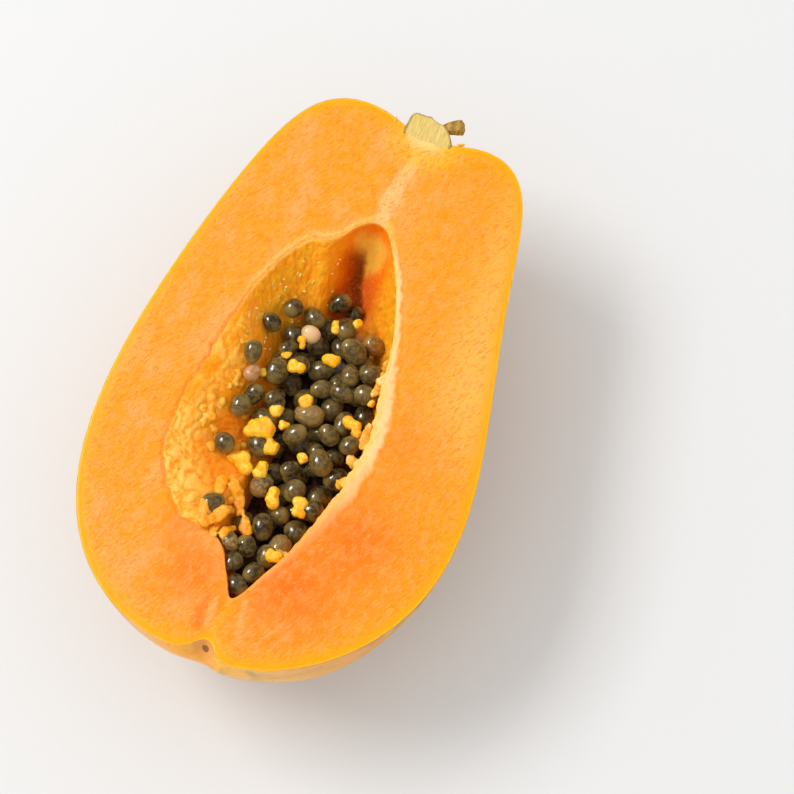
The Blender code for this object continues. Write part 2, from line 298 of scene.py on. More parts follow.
def paint(thing, name, values):
    """Store a number, or a colour, at every vertex for the material to read."""
    values = np.asarray(values, float)
    if values.ndim == 1:
        layer = thing.data.attributes.new(name, "FLOAT", "POINT")
        layer.data.foreach_set("value", values)
        return
    layer = thing.data.attributes.new(name, "FLOAT_COLOR", "POINT")
    full = np.concatenate((values, np.ones((len(values), 1))), axis=1)
    layer.data.foreach_set("color", full.ravel())


def layered(points, base, layers):
    """A colour for every point: a base, with each (colour, weight) laid over it in turn."""
    tint = np.broadcast_to(base, points.shape[:-1] + (3,))
    for colour, weight in layers:
        weight = np.asarray(weight, float)[..., None]
        tint = tint * (1 - weight) + colour * weight
    return tint


# ---------------------------------------------------------------- where the fruit lies
def place_in_frame():
    """The CAD model's place of the fruit's axis at mid-length, in metres."""
    low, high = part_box("papaya_half")
    left_reach = profile(LEFT, np.linspace(-1, 1, 4001))[0].max()
    stem_reach = max(profile(side, np.linspace(0, 1, 4001))[1].max() for side in (LEFT, RIGHT))
    return np.array((low.x + left_reach * MM, high.y - stem_reach * MM, high.z))


PLACE = place_in_frame()

# ---------------------------------------------------------------- colours
FLESH = srgb(251, 152, 22)
FLESH_PINK = srgb(252, 164, 90)
FLESH_DEEP = srgb(250, 148, 4)
FLESH_YELLOW = srgb(252, 184, 88)
FLESH_RED = srgb(249, 108, 0)
RIM_YELLOW = srgb(252, 162, 0)
# Painted highlight: the light yellow line along the very edge of the cut face.
RIM_EDGE_HIGHLIGHT = srgb(254, 192, 64)
# Painted shade: the darker orange in the groove along the torn left edge.
GROOVE_SHADE = srgb(250, 146, 0)
CREAM = srgb(253, 192, 106)
STREAK = srgb(253, 190, 122)
LIP_YELLOW = srgb(254, 186, 74)
LIP_CREAM = srgb(253, 200, 142)
PULP = srgb(253, 158, 6)
PULP_CREAM = srgb(255, 196, 92)
WALL_ORANGE = srgb(250, 126, 0)
# Painted shade: the redder orange of the creases between the shelf's lumps.
PULP_CREASE_SHADE = srgb(253, 132, 2)
WALL_YELLOW = srgb(255, 172, 24)
WALL_BEIGE = srgb(242, 186, 64)
# Painted shade: the darker orange of the deep wall, of the hollows between the slope's lumps, of the upper
# crease and of the cavity's bottom point.
WALL_SHADE = srgb(208, 84, 0)
# Painted shade: the near-black orange in the middle of the upper crease.
CREASE_SHADE = srgb(128, 46, 0)
STEM_CREAM = srgb(246, 198, 118)
STEM_YELLOW = srgb(250, 178, 42)
SCAR_BROWN = srgb(140, 84, 38)

# ---------------------------------------------------------------- flesh
FACE_SUNK = 0.12              # mean depth of the relief under the CAD model's cut face
FACE_WAVES = ((0.10, 9.0, 2, 1), (0.07, (2.2, 3.0, 2.2), 2, 2))
LIP_HEIGHT = 0.55             # of the pale ridge along the right of the mouth
LIP_FOLD = (1.3, 2.2, 2.0)    # size of the lining's folds
# Redder patches of flesh: place, size and strength.
RED_SPOTS = ((15.0, -60.0, 15.0, 0.9), (-12.0, -66.0, 9.0, 0.7), (27.0, -40.0, 13.0, 0.85),
             (-20.0, -55.5, 6.0, 0.5), (30.0, -10.0, 12.0, 0.35))
STREAK_LINE = np.array(((-3.0, 51.0), (-3.1, 58.0), (-2.6, 66.0), (-0.6, 75.0), (0.5, 79.0)))
STREAK_WIDTH = (2.2, 3.2, 2.6, 2.2, 4.0)
# Soft bands between the cavity's lower tip and the blossom notch: colour, strength, line, widths.
NOTCH_BANDS = (
    (FLESH_RED, 0.75, ((-4.6, -71.0), (-5.2, -76.0), (-2.9, -82.0)), (1.0, 1.7, 2.4)),
    (FLESH_PINK, 0.8, ((-2.2, -70.5), (-2.3, -74.0), (-2.1, -78.5)), (0.7, 1.1, 0.7)),
    (RIM_YELLOW, 0.7, ((1.6, -69.5), (1.4, -75.0), (0.4, -81.0)), (1.3, 1.5, 2.0)),
    (FLESH_DEEP, 0.8, ((3.6, -70.5), (4.4, -76.0), (5.4, -83.0)), (1.5, 2.4, 3.4)),
    (FLESH_PINK, 0.8, ((5.6, -68.5), (6.6, -74.0), (8.4, -80.0)), (0.8, 1.2, 0.8)),
    (FLESH_PINK, 0.7, ((17.5, -70.5), (15.0, -74.5), (13.0, -79.0)), (0.4, 0.7, 0.4)),
    (FLESH_PINK, 0.6, ((21.0, -71.5), (18.6, -75.0), (16.8, -79.5)), (0.4, 0.7, 0.4)),
)
STEM_MIDDLE_X = -0.7
CREASE_LINE = np.array(((-1.0, 28.0), (-1.9, 31.5), (-3.4, 34.6),
                        (-4.4, 38.0), (-5.0, 41.4), (-5.2, 45.0)))


def lip_width(mouth):
    """Narrow beside the upper hollow, wide beside the seeds."""
    return 2.0 + 2.6 * ramp(mouth[..., 1], 24, -4) - 2.0 * ramp(mouth[..., 1], -30, -58)


def columns(mouth):
    """Weights of shelf, slope, upper wall and lip, and the lip's width, as one column of rays each."""
    found = (*wall_weights(mouth), lip_weight(mouth), lip_width(mouth))
    return [values[:, None] for values in found]


def line_distance(points, line, widths):
    """Distance from a bent line in units of its width there."""
    best = np.full(points.shape[:-1], 1e9)
    for a, b, wide_a, wide_b in zip(line, line[1:], widths, widths[1:]):
        run = b - a
        t = np.clip(((points - a) @ run) / (run @ run), 0, 1)
        gap = np.linalg.norm(points - a - t[..., None] * run, axis=-1)
        best = np.minimum(best, gap / (wide_a + (wide_b - wide_a) * t))
    return best


def face_rings():
    """Points of the cut face from the mouth outwards, with their distances to both edges."""
    run = OUTLINE - MOUTH_RAYS
    width = np.linalg.norm(run, axis=1)
    inner = np.broadcast_to(FACE_INNER, (RAYS, len(FACE_INNER)))
    outer = width[:, None] - FACE_OUTER
    share = np.linspace(0, 1, FACE_MIDDLE + 2)[1:-1]
    middle = inner[:, -1:] + (outer[:, :1] - inner[:, -1:]) * share
    reach = np.concatenate((inner, middle, outer, width[:, None] - RIM_GAP), axis=1)
    plan = MOUTH_RAYS[:, None] + run[:, None] * (reach / width[:, None])[..., None]
    return plan, reach, width[:, None] - reach


def face_height(plan, from_mouth, from_rim):
    """Relief of the cut face: soft waves, small dents, the lip and the torn left edge."""
    flat = on_face(plan)
    shelf, slope, upper, lip, width = columns(MOUTH_RAYS)
    z = waves(flat, FACE_WAVES) - FACE_SUNK
    crinkle = 0.8 + 0.5 * field(flat, (1.8, 3.6, 2.0), 2, 3)
    z = z + lip * LIP_HEIGHT * crinkle * bell(from_mouth, 0.42 * width, 0.40 * width)
    folds = np.abs(field(flat, LIP_FOLD, 2, 24))
    z = z - lip * 0.30 * folds * ramp(from_mouth, 0.7 * width, 0.2 * width)
    z = z - lip * 0.20 * bell(from_mouth, 1.25 * width, 0.8)
    groove = 0.55 + 0.45 * field(flat, 3.5, 2, 4)
    z = z - shelf * 0.6 * groove * bell(from_mouth, 0.35, 0.6)
    z = z - (shelf + slope) * 0.35 * ramp(from_mouth, 1.6, 0.0)
    z = z + (upper + slope) * (1 - lip) * 0.26 * bell(from_mouth, 1.2, 0.8)
    streak = line_distance(plan, STREAK_LINE, STREAK_WIDTH)
    z = z - 0.25 * bell(streak, 1.0, 0.25) * ramp(plan[..., 1], 50, 56)
    z = z - ramp(from_rim, 0.9, 0.1) * 0.18
    return z


def near_stem(plan):
    """1 on the flesh round the stem's foot."""
    away = np.abs(plan[..., 0] - STEM_MIDDLE_X)
    return ramp(away, 11.0, 7.0) * ramp(plan[..., 1], 74, 79)


def flesh_zones(plan):
    """Broad zones of the flesh: pinker on the left, yellower at the upper right, redder low down."""
    x, y = plan[..., 0], plan[..., 1]
    pink = ramp(field(on_face(plan), (7.0, 11.0, 7.0), 3, 5), -0.25, 0.55)
    zones = [(FLESH_PINK, 0.7 * pink * ramp(x, 40, -10)),
             (FLESH_DEEP, 0.5 * bell(x, 24, 14)),
             (FLESH_YELLOW, 0.85 * ramp(x, 20, 44) * ramp(y, -24, 14))]
    for spot_x, spot_y, size, strength in RED_SPOTS:
        zones.append((FLESH_RED, strength * bell(np.hypot(x - spot_x, y - spot_y), 0, size)))
    return zones


def notch_bands(plan, wander):
    """The soft bands between the cavity's lower tip and the blossom notch."""
    bands = []
    for colour, strength, line, widths in NOTCH_BANDS:
        across = line_distance(plan, np.array(line), widths) + wander
        bands.append((colour, strength * ramp(across, 1.5, 0.3)))
    return bands


def mouth_edge(plan, from_mouth):
    """The rounded upper edge of the mouth, the pale lining at its right, and the torn left edge with
    painted shade along its groove.
    """
    flat = on_face(plan)
    shelf, slope, upper, lip, width = columns(MOUTH_RAYS)
    rounded = (slope + upper) * (1 - lip)
    reach = from_mouth + 0.9 * field(flat, (1.8, 3.0, 2.0), 3, 6)
    lined = lip * (0.25 + 0.75 * ramp(plan[..., 1], -48, -12))
    creases = ramp(np.abs(field(flat, LIP_FOLD, 2, 24)), 0.16, 0.02)
    uneven = 0.5 + 0.5 * ramp(field(flat, 5.0, 2, 22), -0.3, 0.3)
    return [(CREAM, 0.7 * rounded * bell(from_mouth, 1.6, 1.2)),
            (LIP_YELLOW, 0.85 * rounded * ramp(from_mouth, 1.0, 0.2)),
            (LIP_CREAM, 0.95 * lined * ramp(reach, 1.15 * width, 0.70 * width)),
            (LIP_YELLOW, 0.60 * lined * ramp(reach, 0.50 * width, 0.20 * width)),
            (PULP, 0.45 * lip * creases * ramp(from_mouth, 0.6 * width, 0.2 * width)),
            # Painted shade along the groove.
            (GROOVE_SHADE, 0.35 * shelf * uneven * bell(from_mouth, 0.3, 0.8))]


def stem_glow(plan, wander):
    """The pale streak down from the stem, and the pale flesh round the stem's foot."""
    x, y = plan[..., 0], plan[..., 1]
    streak = line_distance(plan, STREAK_LINE, STREAK_WIDTH)
    away = np.hypot(0.85 * (x - STEM_MIDDLE_X), y - STEM_Y) + 1.5 * field(on_face(plan), 4.0, 2, 8)
    return [(STREAK, 0.85 * ramp(streak + wander, 1.15, 0.55)),
            (STEM_YELLOW, 0.9 * ramp(away, 14.0, 6.0)),
            (STEM_CREAM, ramp(away, 6.6, 3.0))]


def yellow_rim(plan, from_rim):
    """The yellow band under the skin, wider at the blossom end and missing at the stem, with a painted
    highlight along the very edge.
    """
    edge = 1.0 + 0.8 * field(on_face(plan), 9.0, 2, 9) + 1.2 * ramp(plan[..., 1], -50, -76)
    band = 1 - near_stem(plan)
    return [(RIM_YELLOW, 0.55 * band * ramp(from_rim, edge + 6.0, edge + 0.5)),
            (RIM_YELLOW, 0.9 * band * ramp(from_rim, edge + 2.2, edge - 0.4)),
            # Painted highlight along the very edge.
            (RIM_EDGE_HIGHLIGHT, 0.45 * band * ramp(from_rim, 0.9, 0.3))]


def face_colour(plan, from_mouth, from_rim):
    wander = 0.30 * field(on_face(plan), (2.0, 6.0, 2.0), 3, 7)
    layers = flesh_zones(plan) + notch_bands(plan, wander) + mouth_edge(plan, from_mouth)
    return layered(plan, FLESH, layers + stem_glow(plan, wander) + yellow_rim(plan, from_rim))


def face_calm(from_mouth, from_rim):
    """1 where the flesh is even: at the rim and on the pale lip."""
    *_, lip, width = columns(MOUTH_RAYS)
    return np.maximum(ramp(from_rim, 3.6, 1.4), lip * ramp(from_mouth, 1.2 * width, 0.8 * width))


def cavity_rings():
    """Points of the cavity's wall down each ray, from the mouth to its centre, and the way to each."""
    t = np.linspace(1, 0, 500)
    depth = cavity_depth(MOUTH_RAYS[:, None], t[None, :])
    run = MOUTH_RAYS - CAVITY_CENTRE
    width = np.linalg.norm(run, axis=1)[:, None]
    step = np.hypot(np.diff(depth, axis=1), np.diff(t)[None, :] * width)
    length = np.concatenate((np.zeros((RAYS, 1)), np.cumsum(step, axis=1)), axis=1)
    share = np.linspace(0, 1, CAVITY_STEPS + 1)[1:-1] ** CAVITY_CROWDING
    chosen = np.empty((RAYS, len(share)))
    for k in range(RAYS):
        chosen[k] = np.interp(share * length[k, -1], length[k], t)
    plan = CAVITY_CENTRE + run[:, None] * chosen[..., None]
    depth = cavity_depth(MOUTH_RAYS[:, None], chosen)
    return np.concatenate((plan, -depth[..., None]), axis=-1), share * length[:, -1:]


def wall_normals(points):
    round_wall = np.roll(points, -1, axis=0) - np.roll(points, 1, axis=0)
    down_wall = np.gradient(points, axis=1)
    normal = np.cross(down_wall, round_wall)
    normal /= np.linalg.norm(normal, axis=-1, keepdims=True) + 1e-9
    return np.where(normal[..., 2:] < 0, -normal, normal)


def lumps(points, size, seed):
    """Rounded lumps with sharp creases between them: 0 in a crease, about 1 on a lump."""
    swirl = points + 1.6 * field(points, 7.0, 2, 10)[..., None]
    return np.clip(2.3 * np.abs(field(swirl, size, 3, seed)), 0, 1) ** 0.9


def beige_weight(points):
    """1 on the smooth patch of wall under the cavity's upper tip."""
    middle = np.array((-3.6, 44.6))
    away = (points[..., :2] - middle) / np.array((5.5, 4.6))
    away = np.linalg.norm(away, axis=-1) + 0.25 * field(points, (2.5, 4.0, 4.0), 3, 26)
    return ramp(away, 1.35, 0.55) * ramp(points[..., 2], -1.4, -3.5)


def crease_weight(points, reach):
    """1 in the crease of the upper hollow, which is sunk and painted dark as shade: crisp on its right,
    fading out on its left.
    """
    x, y = points[..., 0], points[..., 1]
    across = x - np.interp(y, CREASE_LINE[:, 1], CREASE_LINE[:, 0])
    across = across + 0.9 * field(points, (2.5, 5.0, 4.0), 3, 25)
    span = ramp(y, 46.5, 41.0) * ramp(y, 24.0, 30.0) * ramp(points[..., 2], -4.5, -8.5)
    return ramp(across, 1.4, -0.4) * ramp(across, -reach, -0.12 * reach) * span


SHELF_LUMP = (3.2, 5.0, 3.4)
SLOPE_LUMP = (2.0, 2.6, 2.4)
CREASE_DEPTH = 1.1


def cavity_relief(points, inside):
    """How far the torn pulp and the ribs of the wall stand out, in millimetres."""
    shelf, slope, _, lip, _ = columns(SMOOTH_MOUTH)
    near = ramp(inside, 0.0, 1.4)
    pulp = 0.45 * lumps(points, SHELF_LUMP, 11) - 0.2 + 0.14 * field(points, 1.6, 2, 12)
    wall = 0.35 * field(points, (2.4, 2.4, 4.0), 3, 13)
    fluff = 0.45 * lumps(points, SLOPE_LUMP, 16) - 0.25 + 0.16 * field(points, 0.9, 2, 17)
    ribs = 0.6 * field(points, (1.6, 1.6, 7.0), 3, 14)
    plain = 1 - 0.85 * beige_weight(points)
    relief = shelf * pulp + slope * fluff + (1 - shelf - slope) * (wall + lip * ribs) * plain
    return relief * near - CREASE_DEPTH * crease_weight(points, 3.5)


def cavity_colour(points, inside):
    """Colours of the cavity's wall: creamy torn shelf with a painted highlight on its lump tops, yellow
    slope, streaked right wall, and painted shade deep down, in the hollows between lumps and darkest in the
    upper crease.
    """
    shelf, slope, upper, lip, _ = columns(SMOOTH_MOUTH)
    y = points[..., 1]
    streaks = ramp(field(points, (1.4, 1.4, 8.0), 3, 18), -0.3, 0.35)
    yellow = ramp(field(points, (3.0, 5.0, 4.0), 3, 19), -0.3, 0.2)
    patches = ramp(field(points, (5.0, 8.0, 5.0), 3, 20), -0.30, 0.20)
    cream = np.clip(0.75 * patches + 0.8 * bell(y, -37, 12) - 0.4 * bell(y, -12, 10), 0, 1)
    outer = 1 - 0.6 * ramp(inside, 6.0, 14.0)
    lump = lumps(points, SHELF_LUMP, 11)
    low = ramp(lumps(points, SLOPE_LUMP, 16), 0.4, 0.05)
    deep = ramp(-points[..., 2], 7.0, 20.0) * (1 - 0.6 * lip)
    return layered(points, WALL_ORANGE, (
        (WALL_YELLOW, lip * (0.65 + 0.35 * streaks)),
        (PULP, np.maximum(shelf, 0.7 * slope)),
        (WALL_YELLOW, slope * (0.4 + 0.6 * yellow)),
        # Cream on the shelf: real cream patches, and a painted highlight on the tops of the lumps.
        (PULP_CREAM, shelf * ramp(lump, -0.2, 0.9) * cream * outer),
        # Painted shade in the creases between the shelf's lumps.
        (PULP_CREASE_SHADE, shelf * ramp(lump, 0.40, 0.0) * (0.75 - 0.35 * patches)),
        (WALL_ORANGE, shelf * 0.6 * ramp(inside, 7.0, 16.0)),
        # Painted shade in the hollows between the slope's lumps.
        (WALL_SHADE, slope * 0.25 * low),
        # Painted shade: darker deeper down the wall, less on the shelf and slope.
        (WALL_SHADE, deep * (0.9 - 0.5 * shelf - 0.35 * slope)),
        (WALL_BEIGE, beige_weight(points) * 0.9),
        # Painted shade in the upper crease: a wide darker band, near-black in its middle.
        (WALL_SHADE, crease_weight(points, 12.0) * 0.7),
        (CREASE_SHADE, crease_weight(points, 6.5) * 0.9),
        (LIP_YELLOW, lip * 0.9 * ramp(inside, 1.6, 0.3)),
        (LIP_YELLOW, (slope + upper) * (1 - lip) * 0.75 * ramp(inside, 1.5, 0.2)),
    ))


SCAR_PLACE = np.array((0.4, -84.2, -2.6))
SCAR_SIZE = 1.45


def scar_value(skin):
    """1 on the dry scar in the blossom dimple, with a faint warm ring round it."""
    away = np.linalg.norm(skin - SCAR_PLACE, axis=-1) * (1 + 0.35 * field(skin, 1.6, 2, 23))
    return np.maximum(ramp(away, SCAR_SIZE, 0.6 * SCAR_SIZE), 0.35 * ramp(away, 5.0 * SCAR_SIZE, SCAR_SIZE))


def inset_skin():
    """The skin, uneven and just inside the CAD model's, from right rim to left for every station."""
    angles = np.linspace(0, math.pi, SKIN_STEPS)
    angles[0], angles[-1] = RIM_ANGLE, math.pi - RIM_ANGLE
    skin = skin_points(angles, S)
    radial = skin * np.array((1, 0, 1))
    size = np.linalg.norm(radial, axis=-1, keepdims=True)
    dents = SKIN_DENTS * (1 + field(skin, 9.0, 2, 21)[..., None])
    skin = skin - radial * np.minimum(INSET + dents, size * 0.5) / size
    skin[..., 1] *= ENDS_INSET
    floor = skin[..., 2].min() + FLAT_DEPTH - INSET
    skin[..., 2] = np.maximum(skin[..., 2], floor)
    return skin.reshape(-1, 3)


def body_faces(rings, middle):
    """Faces of the cavity and cut face, and those of the skin, where middle is the last point."""
    first_skin = RAYS * rings

    def at(ray, ring):
        return (ray % RAYS) * rings + ring

    top = []
    for ray in range(RAYS):
        top.append((at(ray, 0), at(ray + 1, 0), middle))
        for ring in range(rings - 1):
            top.append((at(ray, ring), at(ray, ring + 1), at(ray + 1, ring + 1), at(ray + 1, ring)))
    last = rings - 1
    rows = []
    for i in range(STATIONS):
        under = [first_skin + i * SKIN_STEPS + step for step in range(SKIN_STEPS)]
        rows.append([at(STATIONS - i, last)] + under + [at(STATIONS + 2 + i, last)])
    skin = []
    for low, high in zip(rows, rows[1:]):
        for j in range(len(low) - 1):
            skin.append((low[j], low[j + 1], high[j + 1], high[j]))
    for j in range(SKIN_STEPS + 1):
        skin.append((rows[0][j + 1], rows[0][j], at(STATIONS + 1, last)))
    for j in range(SKIN_STEPS + 1):
        skin.append((rows[-1][j], rows[-1][j + 1], at(0, last)))
    return top, skin


def fruit_body():
    """The whole half fruit as one closed mesh: cavity, cut face, rim and skin."""
    wall, inside = cavity_rings()
    wall_tint = cavity_colour(wall, inside)
    wall = wall + wall_normals(wall) * cavity_relief(wall, inside)[..., None]
    wall[..., 2] = np.minimum(wall[..., 2], -WALL_SUNK)
    plan, from_mouth, from_rim = face_rings()
    height = face_height(plan, from_mouth, from_rim)
    face = np.concatenate((plan, height[..., None]), axis=-1)
    face_tint = face_colour(plan, from_mouth, from_rim)
    skin = inset_skin()
    under_skin = np.zeros(len(skin))
    centre = np.array([[*CAVITY_CENTRE, -CAVITY_DEPTH]])

    def all_over(of_wall, of_face, of_skin, of_centre):
        """Values for every point, in the order of the mesh."""
        top = np.concatenate((of_wall[:, ::-1], of_face), axis=1)
        return np.concatenate((top.reshape(-1, *top.shape[2:]), of_skin, of_centre))

    points = all_over(wall, face, skin, centre)
    rings = wall.shape[1] + face.shape[1]
    top_faces, skin_faces = body_faces(rings, len(points) - 1)
    fruit = closed_mesh("papaya_flesh_and_skin", points, top_faces + skin_faces)
    rim_tint = np.broadcast_to(RIM_YELLOW, skin.shape)
    nothing = np.zeros(wall.shape[:2])
    plain = np.zeros(plan.shape[:2])
    calm = face_calm(from_mouth, from_rim)
    # The cavity's bottom point takes the painted shade colour.
    paint(fruit, "tint", all_over(wall_tint, face_tint, rim_tint, [WALL_SHADE]))
    paint(fruit, "calm", all_over(nothing, calm, under_skin, [0]))
    paint(fruit, "pulpy", all_over(nothing + 1, plain, under_skin, [1]))
    paint(fruit, "scar", all_over(nothing, plain, scar_value(skin), [0]))
    slots = [0] * len(top_faces) + [1] * len(skin_faces)
    fruit.data.polygons.foreach_set("material_index", slots)
    return fruit


# ---------------------------------------------------------------- bed of the seeds
BED_RAYS = 96
BED_TOP_STEPS = np.linspace(1.0, 0.06, 22)
BED_FLOOR_STEPS = np.linspace(0.97, 0.12, 16)
BED_BELOW_SEEDS = 11.5        # the bed's mean top under the tops of the seeds
BED_SUNK = 0.5                # the bed reaches this far into the wall
BED_DISH = 0.4                # the middle of its top is lower than the rest
BED_WAVES = ((1.1, 5.0, 2, 31), (0.5, 2.2, 2, 32))
HEAP_TOP = 5.4
HEAP_TIP_RISE = 3.6           # the seeds lie higher in the narrow lower tip
HEAP_SLOPE_FROM_Y = 14.0
HEAP_SLOPE = 0.42
HEAP_END_Y = 30.0
HEAP_WAVE = 0.5
# Dark gaps in the heap: place, radius and depth.
HEAP_GAPS = ((-6.0, -40.0, 4.8, 10.0), (-5.4, 10.4, 2.6, 4.0), (-0.2, 13.0, 2.6, 4.0),
             (2.2, -20.6, 2.8, 4.5), (14.6, -18.6, 2.2, 4.0), (2.4, -48.4, 2.2, 4.0))


def heap_depth(y):
    """Depth of the mean top of the seeds under the cut face, at a place along the fruit."""
    tip = HEAP_TIP_RISE * ramp(y, -38.0, -54.0)
    return HEAP_TOP - tip + HEAP_SLOPE * np.maximum(0, y - HEAP_SLOPE_FROM_Y)


def gap_depth(x, y):
    """How much deeper the loose seeds lie in and round the gaps of the heap."""
    total = HEAP_WAVE * math.sin(x / 2.9 + 1) * math.sin(y / 3.7)
    for gap_x, gap_y, size, depth in HEAP_GAPS:
        total += depth * float(bell(math.hypot(x - gap_x, y - gap_y), 0, size))
    return total


def bed_of_seeds():
    """The lower layers of seeds and pulp, which the loose seeds lie on, as one sheet painted with their
    shade.
    """
    mouth = MOUTH_RAYS[:: RAYS // BED_RAYS][:BED_RAYS]
    run = (mouth - CAVITY_CENTRE)[:, None]
    t = np.linspace(1, 0, 400)
    y = CAVITY_CENTRE[1] + run[..., 1] * t
    room = cavity_depth(mouth[:, None], t[None, :]) - heap_depth(y) - BED_BELOW_SEEDS
    reach = t[np.argmax((room > 0) & (y < HEAP_END_Y), axis=1)]
    floor_t = reach[:, None] * BED_FLOOR_STEPS
    top = CAVITY_CENTRE + run * (reach[:, None] * BED_TOP_STEPS)[..., None]
    below = CAVITY_CENTRE + run * floor_t[..., None]
    top_z = -heap_depth(top[..., 1]) - BED_BELOW_SEEDS
    below_z = -cavity_depth(mouth[:, None], floor_t) - BED_SUNK
    top = np.concatenate((top, top_z[..., None]), axis=-1)
    top[..., 2] += waves(top, BED_WAVES) * ramp(BED_TOP_STEPS, 1.0, 0.9)
    below = np.concatenate((below, below_z[..., None]), axis=-1)
    rows = np.concatenate((top[:, ::-1], below), axis=1)
    rings = rows.shape[1]
    middle_top = (*CAVITY_CENTRE, top[..., 2].mean() - BED_DISH)
    middle_floor = (*CAVITY_CENTRE, -CAVITY_DEPTH - BED_SUNK)
    points = np.concatenate((rows.reshape(-1, 3), [middle_top, middle_floor]))
    first, last = len(points) - 2, len(points) - 1
    faces = []
    for ray in range(BED_RAYS):
        here, there = ray * rings, (ray + 1) % BED_RAYS * rings
        faces.append((here, there, first))
        for ring in range(rings - 1):
            faces.append((here + ring, here + ring + 1, there + ring + 1, there + ring))
        faces.append((there + rings - 1, here + rings - 1, last))
    return closed_mesh("bed_under_seeds", points, faces)


# ---------------------------------------------------------------- seeds
# Mean length, width and thickness with the clear aril, each with the range of its factor.
SEED_MEASURES = ((7.3, 0.92, 1.12), (6.2, 0.94, 1.05), (6.0, 0.94, 1.04))
SEED_SIDES = 24
SEED_RINGS = 13
SEED_CANDIDATES = 70          # places tried for each seed
SEED_PROUD = 1.2              # a seed may stand this far above the heap's mean top
SEED_RADIUS = 3.1
SEED_SIZES = (0.78, 0.92, 1.0, 1.0, 1.05, 1.14)
SEED_CLEAR_OF_WALL = 0.78     # how much of a seed's radius keeps out of the wall
# Seeds that lie on the shelf or fill the lower tip: place and depth of the middle.
STRAYS = ((-15.1, -45.1, 3.6), (-19.7, -27.0, 5.0), (-20.0, -14.8, 6.0), (-18.0, -10.0, 7.0),
          (-20.6, -4.7, 7.0), (-22.8, 1.0, 6.5), (-22.2, 12.8, 7.5), (-18.0, 19.5, 8.0),
          (-6.4, -53.6, 4.0), (-1.4, -53.0, 4.6), (-3.2, -58.8, 3.8), (0.9, -64.4, 3.6),
          (3.6, -59.4, 4.2))
STRAY_SUNK = 0.82             # of a seed's radius: how far above the wall its middle lies
STRAY_CLEAR = 0.4             # the strays stay this far under the cut face
FALL_FROM = 20.0
NOTHING_BELOW = -99.0
LEAST_DEPTH = 2.5             # no seed falls where the wall is nearer the cut face than this
PATIENCE = 6                  # the heap is full after so many seeds without a place
# Where the seeds of the rarer kinds lie.
KINDS = {"white": ((-9.1, 13.4),), "pink": ((2.7, 22.6), (-21.0, -4.8)), "amber": ((7.9, 16.3),),
         "rough": ((-1.4, -12.1), (-11.7, -34.8), (6.3, -48.1), (-6.6, -53.4))}
KIND_SIZES = {"white": 0.80, "pink": 0.82}


class Ground:
    """The surface of everything that lies in the cavity so far, in the fruit's millimetres."""

    def __init__(self, *things):
        self.trees = []
        self.balls = []
        for thing in things:
            self.add(thing)

    def add(self, thing):
        points = [vertex.co for vertex in thing.data.vertices]
        faces = [tuple(face.vertices) for face in thing.data.polygons]
        self.trees.append(BVHTree.FromPolygons(points, faces))

    def surface(self, x, y):
        start = Vector(PLACE + np.array((x, y, FALL_FROM)) * MM)
        best = NOTHING_BELOW
        for tree in self.trees:
            hit = tree.ray_cast(start, Vector((0, 0, -1)))[0]
            if hit is not None:
                best = max(best, (hit.z - PLACE[2]) / MM)
        return best

    def rest(self, x, y, radius, clear=SEED_CLEAR_OF_WALL):
        """The lowest height at which a ball's middle can lie at x, y."""
        z = self.surface(x, y) + radius
        for share in (0.5, 0.9):
            rise = math.sqrt(1 - share**2) * radius
            for i in range(8):
                turn = math.pi * (i + share) / 4
                out = share * clear * radius
                z = max(z, self.surface(x + out * math.cos(turn), y + out * math.sin(turn)) + rise)
        for bx, by, bz, ball in self.balls:
            gap = (bx - x) ** 2 + (by - y) ** 2
            if gap < (ball + radius) ** 2:
                z = max(z, bz + math.sqrt((ball + radius) ** 2 - gap))
        return z


def seed_mould(sides, rings):
    """A unit ovoid along X, blunt at one end, as rows of points with the faces between them."""
    points = [(1.0, 0.0, 0.0)]
    for i in range(1, rings + 1):
        polar = math.pi * i / (rings + 1)
        wide = math.sin(polar) ** 0.92 * (1 + 0.10 * math.cos(polar))
        for j in range(sides):
            turn = 2 * math.pi * j / sides
            points.append((math.cos(polar), wide * math.cos(turn), wide * math.sin(turn)))
    points.append((-1.0, 0.0, 0.0))
    faces = []
    for j in range(sides):
        k = (j + 1) % sides
        faces.append((0, 1 + j, 1 + k))
        for i in range(rings - 1):
            row = 1 + i * sides
            faces.append((row + j, row + sides + j, row + sides + k, row + k))
        last = 1 + (rings - 1) * sides
        faces.append((last + j, len(points) - 1, last + k))
    return np.array(points), faces


def joined(name, shapes):
    """One object from (points, faces, values) lists; values are painted by name."""
    points, faces = [], []
    painted = {}
    for shape_points, shape_faces, values in shapes:
        first = sum(len(p) for p in points)
        points.append(shape_points)
        faces += [tuple(first + corner for corner in face) for face in shape_faces]
        for key, value in values.items():
            painted.setdefault(key, []).append(value)
    thing = closed_mesh(name, np.concatenate(points), faces)
    for key, value in painted.items():
        paint(thing, key, np.concatenate(value))
    return thing


